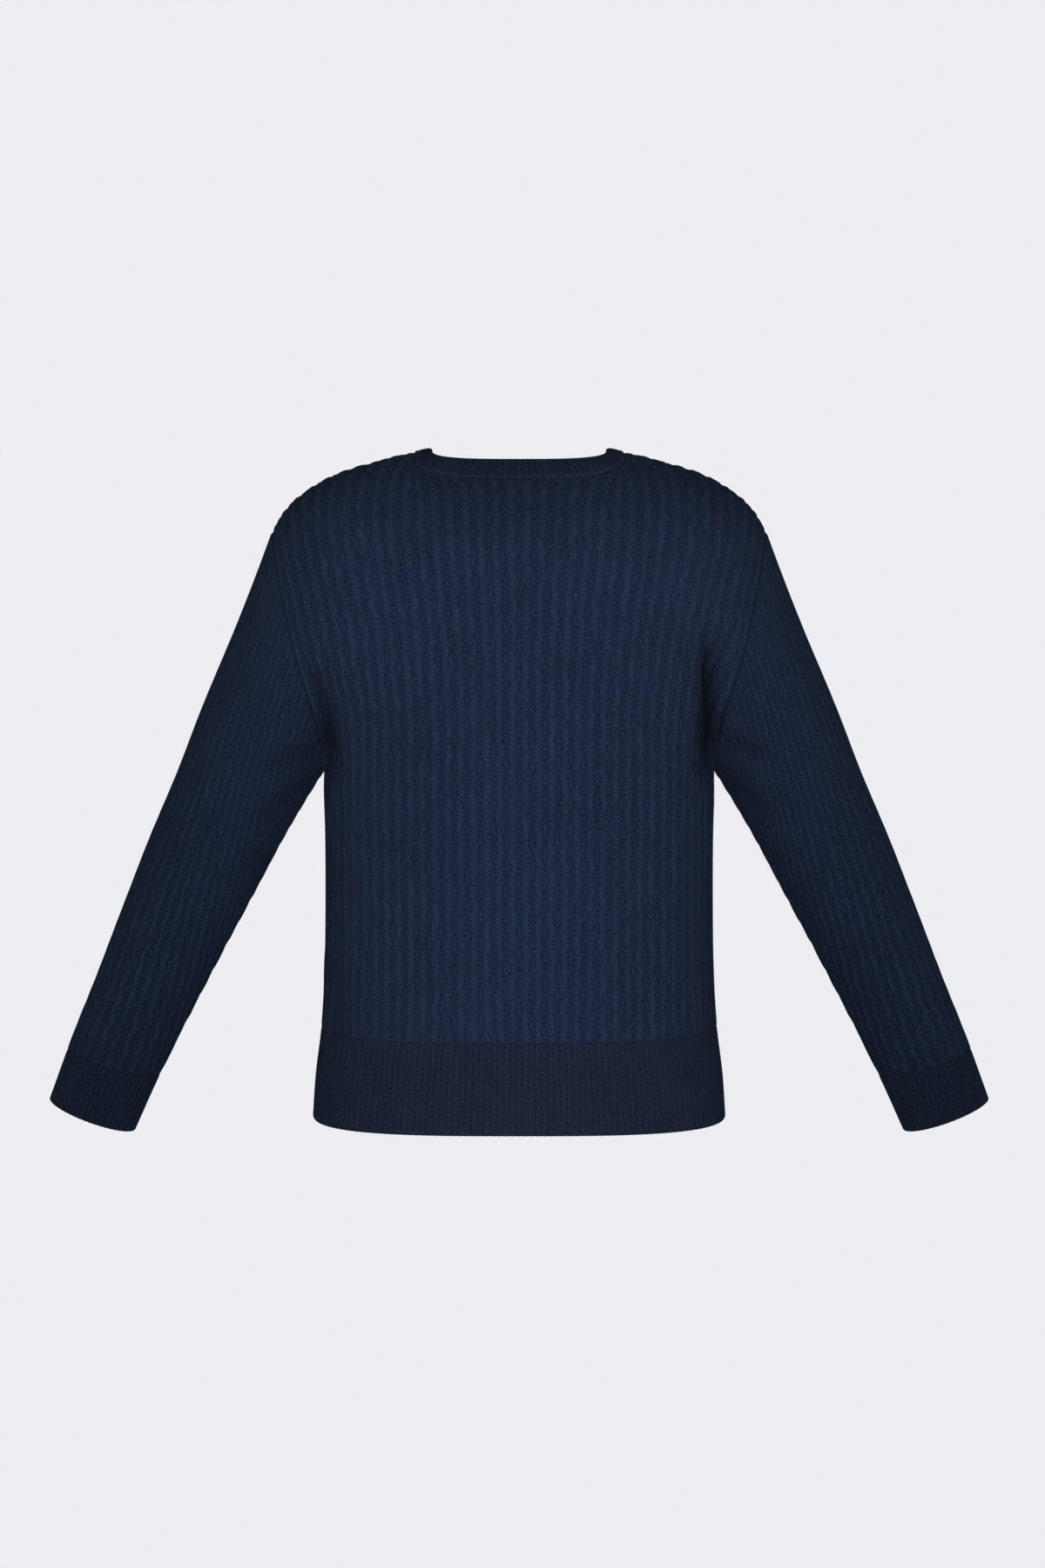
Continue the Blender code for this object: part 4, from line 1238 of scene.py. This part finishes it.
class CARDIGAN_OT_neckband(bpy.types.Operator):
    """Knit the neckband round the neckline"""

    bl_idname = "cardigan.neckband"
    bl_label = "Neckband"

    def execute(self, context):
        knit = context.scene.cardigan_knit
        points = neckband_points()
        inward = turned_in(inward_normals(points), points)
        inward[:, 0] = neckline_inward(points[:, 0])
        inward[[0, -1]] = flattened(inward[[0, -1]], 0)
        band = add_rib("neckband_rib", points, inward, knit, ("end",), "neck", True)
        dress(band, "neckband")
        return {"FINISHED"}


def band_line():
    """Middle of the front, from the hem up over the neckband, and its directions forward."""
    steps = np.array([0.0, 1.0])
    welt = welt_points("front", BAND_X, 1)[0]
    line = np.concatenate([welt, half_panel("front", BAND_X, steps)[0], neckband_points()[0, 1:]])
    line = line[:, 1:]
    keep = np.concatenate([[True], np.linalg.norm(np.diff(line, axis=0), axis=1) > 1e-5])
    line = line[keep]
    run = lengths(line, 0)
    at = np.linspace(0.0, run[-1], BAND_ROWS)
    line = np.stack([np.interp(at, run, line[:, axis]) for axis in range(2)], axis=1)
    rise = unit(np.gradient(line, axis=0))
    return line, np.stack([-rise[:, 1], rise[:, 0]], axis=1)


class CARDIGAN_OT_bands(bpy.types.Operator):
    """Knit the two button bands, one on the other"""

    bl_idname = "cardigan.bands"
    bl_label = "Button bands"

    def execute(self, context):
        knit = context.scene.cardigan_knit
        line, forward = band_line()
        step = WALL + SEAM
        for name, node, low, high, drop in (
            ("buttonhole_band_rib", "buttonhole_band", SEAM - BAND_X, BAND_X + BAND_OVER, 0.0),
            ("button_band_rib", "button_band", -BAND_X - BAND_OVER, BAND_X - SEAM, step),
        ):
            columns = []
            for x in np.linspace(low, high, BAND_RIBS * WELT_STEP + 1):
                lift = step * (x + BAND_X) / (2 * BAND_X) - drop
                columns.append(np.insert(line + forward * lift, 0, x, axis=1))
            points = np.array(columns)
            inward = np.array(np.broadcast_to(np.insert(-forward, 0, 0.0, axis=1), points.shape))
            across = np.broadcast_to((points[:, :1, 0] + BAND_X), points.shape[:2])
            along = lengths(points, 1)
            height = knit.welt_height if drop == 0.0 else 0.0
            raised = fine_ribs(across, knit) * height
            cloth = cloth_of(across, along, np.ones_like(along))
            band = add_wall(name, points, inward, cloth, raised, finish("welt"))
            dress(band, node)
        return {"FINISHED"}


class CARDIGAN_OT_buttons(bpy.types.Operator):
    """Give the buttons their resin finish"""

    bl_idname = "cardigan.buttons"
    bl_label = "Buttons"

    def execute(self, context):
        for i in range(BUTTON_COUNT):
            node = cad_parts[f"button_{i + 1}"]
            node.data.materials.clear()
            node.data.materials.append(finish("button"))
        return {"FINISHED"}


# ---- stage


Light = namedtuple("Light", "width height spread")  # spread is an angle in degrees
BEAM = Light(0.1, 1.6, 18.0)
KEY = Light(0.6, 1.4, 120.0)
SIDE = Light(1.2, 1.6, 120.0)
SLEEVE_BEAM = Light(0.05, 0.9, 8.0)
LIGHT_AWAY = 2.2
SIDE_AWAY = 2.4
SIDE_UP = 0.1
MIDDLE = (0.0, 0.0, -0.3)
SLEEVE_MIDDLE = (0.2645, -0.331)  # x and z of the left sleeve's middle
FLOOR_RADIUS = 12.0


def pale_finish(colour):
    """Ground that is as pale as the backdrop, without shadows."""
    made = bpy.data.materials.new("pale ground")
    made.use_nodes = True
    surface = made.node_tree.nodes["Principled BSDF"]
    surface.inputs["Base Color"].default_value = (0.0, 0.0, 0.0, 1.0)
    surface.inputs["Specular IOR Level"].default_value = 0.0
    surface.inputs["Emission Color"].default_value = (*colour, 1.0)
    surface.inputs["Emission Strength"].default_value = 1.0
    return made


def add_light(name, kind, power, place, ahead, lean=0.0):
    """An upright soft light that faces a point; lean tilts it."""
    lamp = bpy.data.lights.new(name, "AREA")
    lamp.shape = "RECTANGLE"
    lamp.size = kind.width
    lamp.size_y = kind.height
    lamp.spread = radians(kind.spread)
    lamp.energy = power
    made = bpy.data.objects.new(name, lamp)
    bpy.context.scene.collection.objects.link(made)
    made.location = place
    toward = Vector(ahead) - made.location
    made.rotation_mode = "QUATERNION"
    tilt = Quaternion((0.0, 0.0, 1.0), lean)
    made.rotation_quaternion = toward.to_track_quat("-Z", "Y") @ tilt


class CARDIGAN_OT_studio(bpy.types.Operator):
    """Set up the camera, the soft lights and the pale floor"""

    bl_idname = "cardigan.studio"
    bl_label = "Studio"

    def execute(self, context):
        scene = context.scene
        studio = scene.cardigan_studio
        scene.view_settings.view_transform = "Standard"
        lens = bpy.data.cameras.new("camera")
        lens.sensor_fit = "AUTO"
        lens.sensor_width = 36.0
        camera = bpy.data.objects.new("camera", lens)
        scene.collection.objects.link(camera)
        camera.location = (studio.aim[0], studio.camera_distance, studio.camera_height)
        toward = Vector(studio.aim) - camera.location
        lens.lens = lens.sensor_width * toward.length / studio.frame_height
        camera.rotation_mode = "QUATERNION"
        camera.rotation_quaternion = toward.to_track_quat("-Z", "Y")
        scene.camera = camera

        world = bpy.data.worlds.new("studio")
        scene.world = world
        world.use_nodes = True
        start = Socket(world.node_tree, None)
        white = (1.0, 1.0, 1.0, 1.0)
        room = start.node("ShaderNodeBackground", Color=white, Strength=studio.fill)
        seen = start.node("ShaderNodeBackground", Color=(*studio.pale, 1.0))
        camera_ray = start.node("ShaderNodeLightPath")
        both = start.node("ShaderNodeMixShader", _0=camera_ray, _1=room, _2=seen)
        both.feed(world.node_tree.nodes["World Output"], "Surface")

        for sign, name in ((1.0, "back"), (-1.0, "front")):
            before = (0.0, LIGHT_AWAY * sign, MIDDLE[2])
            add_light(f"beam_{name}", BEAM, studio.beam_power, before, MIDDLE)
            add_light(f"key_{name}", KEY, studio.key_power, before, MIDDLE)
            beside = (SIDE_AWAY * sign, 0.0, SIDE_UP)
            add_light(f"side_{name}", SIDE, studio.side_power, beside, MIDDLE)
            for side, out in (("left", 1.0), ("right", -1.0)):
                sleeve = (SLEEVE_MIDDLE[0] * out, 0.0, SLEEVE_MIDDLE[1])
                before = (sleeve[0], LIGHT_AWAY * sign, sleeve[2])
                lean = -SLEEVE_ANGLE * out * sign
                lamp = f"sleeve_{name}_{side}"
                add_light(lamp, SLEEVE_BEAM, studio.sleeve_power, before, sleeve, lean)

        mesh = bmesh.new()
        bmesh.ops.create_circle(mesh, cap_ends=True, segments=96, radius=FLOOR_RADIUS)
        bmesh.ops.translate(mesh, verts=mesh.verts, vec=(0.0, 0.0, studio.floor_drop))
        floor = add_object("floor", mesh, pale_finish(studio.pale))
        floor.visible_diffuse = False
        floor.visible_glossy = False
        return {"FINISHED"}


class CARDIGAN_PT_panel(bpy.types.Panel):
    """Everything that the cardigan is made of"""

    bl_label = "Cardigan"
    bl_idname = "CARDIGAN_PT_panel"
    bl_space_type = "VIEW_3D"
    bl_region_type = "UI"
    bl_category = "Cardigan"

    def draw(self, context):
        for settings in (context.scene.cardigan_knit, context.scene.cardigan_studio):
            for name in settings.bl_rna.properties.keys():
                if name not in ("rna_type", "name"):
                    self.layout.prop(settings, name)
        for operator in OPERATORS:
            self.layout.operator(operator.bl_idname)


OPERATORS = (
    CARDIGAN_OT_back,
    CARDIGAN_OT_fronts,
    CARDIGAN_OT_sleeves,
    CARDIGAN_OT_hem,
    CARDIGAN_OT_cuffs,
    CARDIGAN_OT_neckband,
    CARDIGAN_OT_bands,
    CARDIGAN_OT_buttons,
    CARDIGAN_OT_studio,
)
CLASSES = (KnitSettings, StudioSettings, *OPERATORS, CARDIGAN_PT_panel)


def register():
    for made in CLASSES:
        bpy.utils.register_class(made)
    bpy.types.Scene.cardigan_knit = bpy.props.PointerProperty(type=KnitSettings)
    bpy.types.Scene.cardigan_studio = bpy.props.PointerProperty(type=StudioSettings)


def unregister():
    del bpy.types.Scene.cardigan_studio
    del bpy.types.Scene.cardigan_knit
    for made in reversed(CLASSES):
        bpy.utils.unregister_class(made)


def main():
    register()
    for operator in OPERATORS:
        getattr(bpy.ops.cardigan, operator.bl_idname.split(".")[1])()


if __name__ == "__main__":
    main()
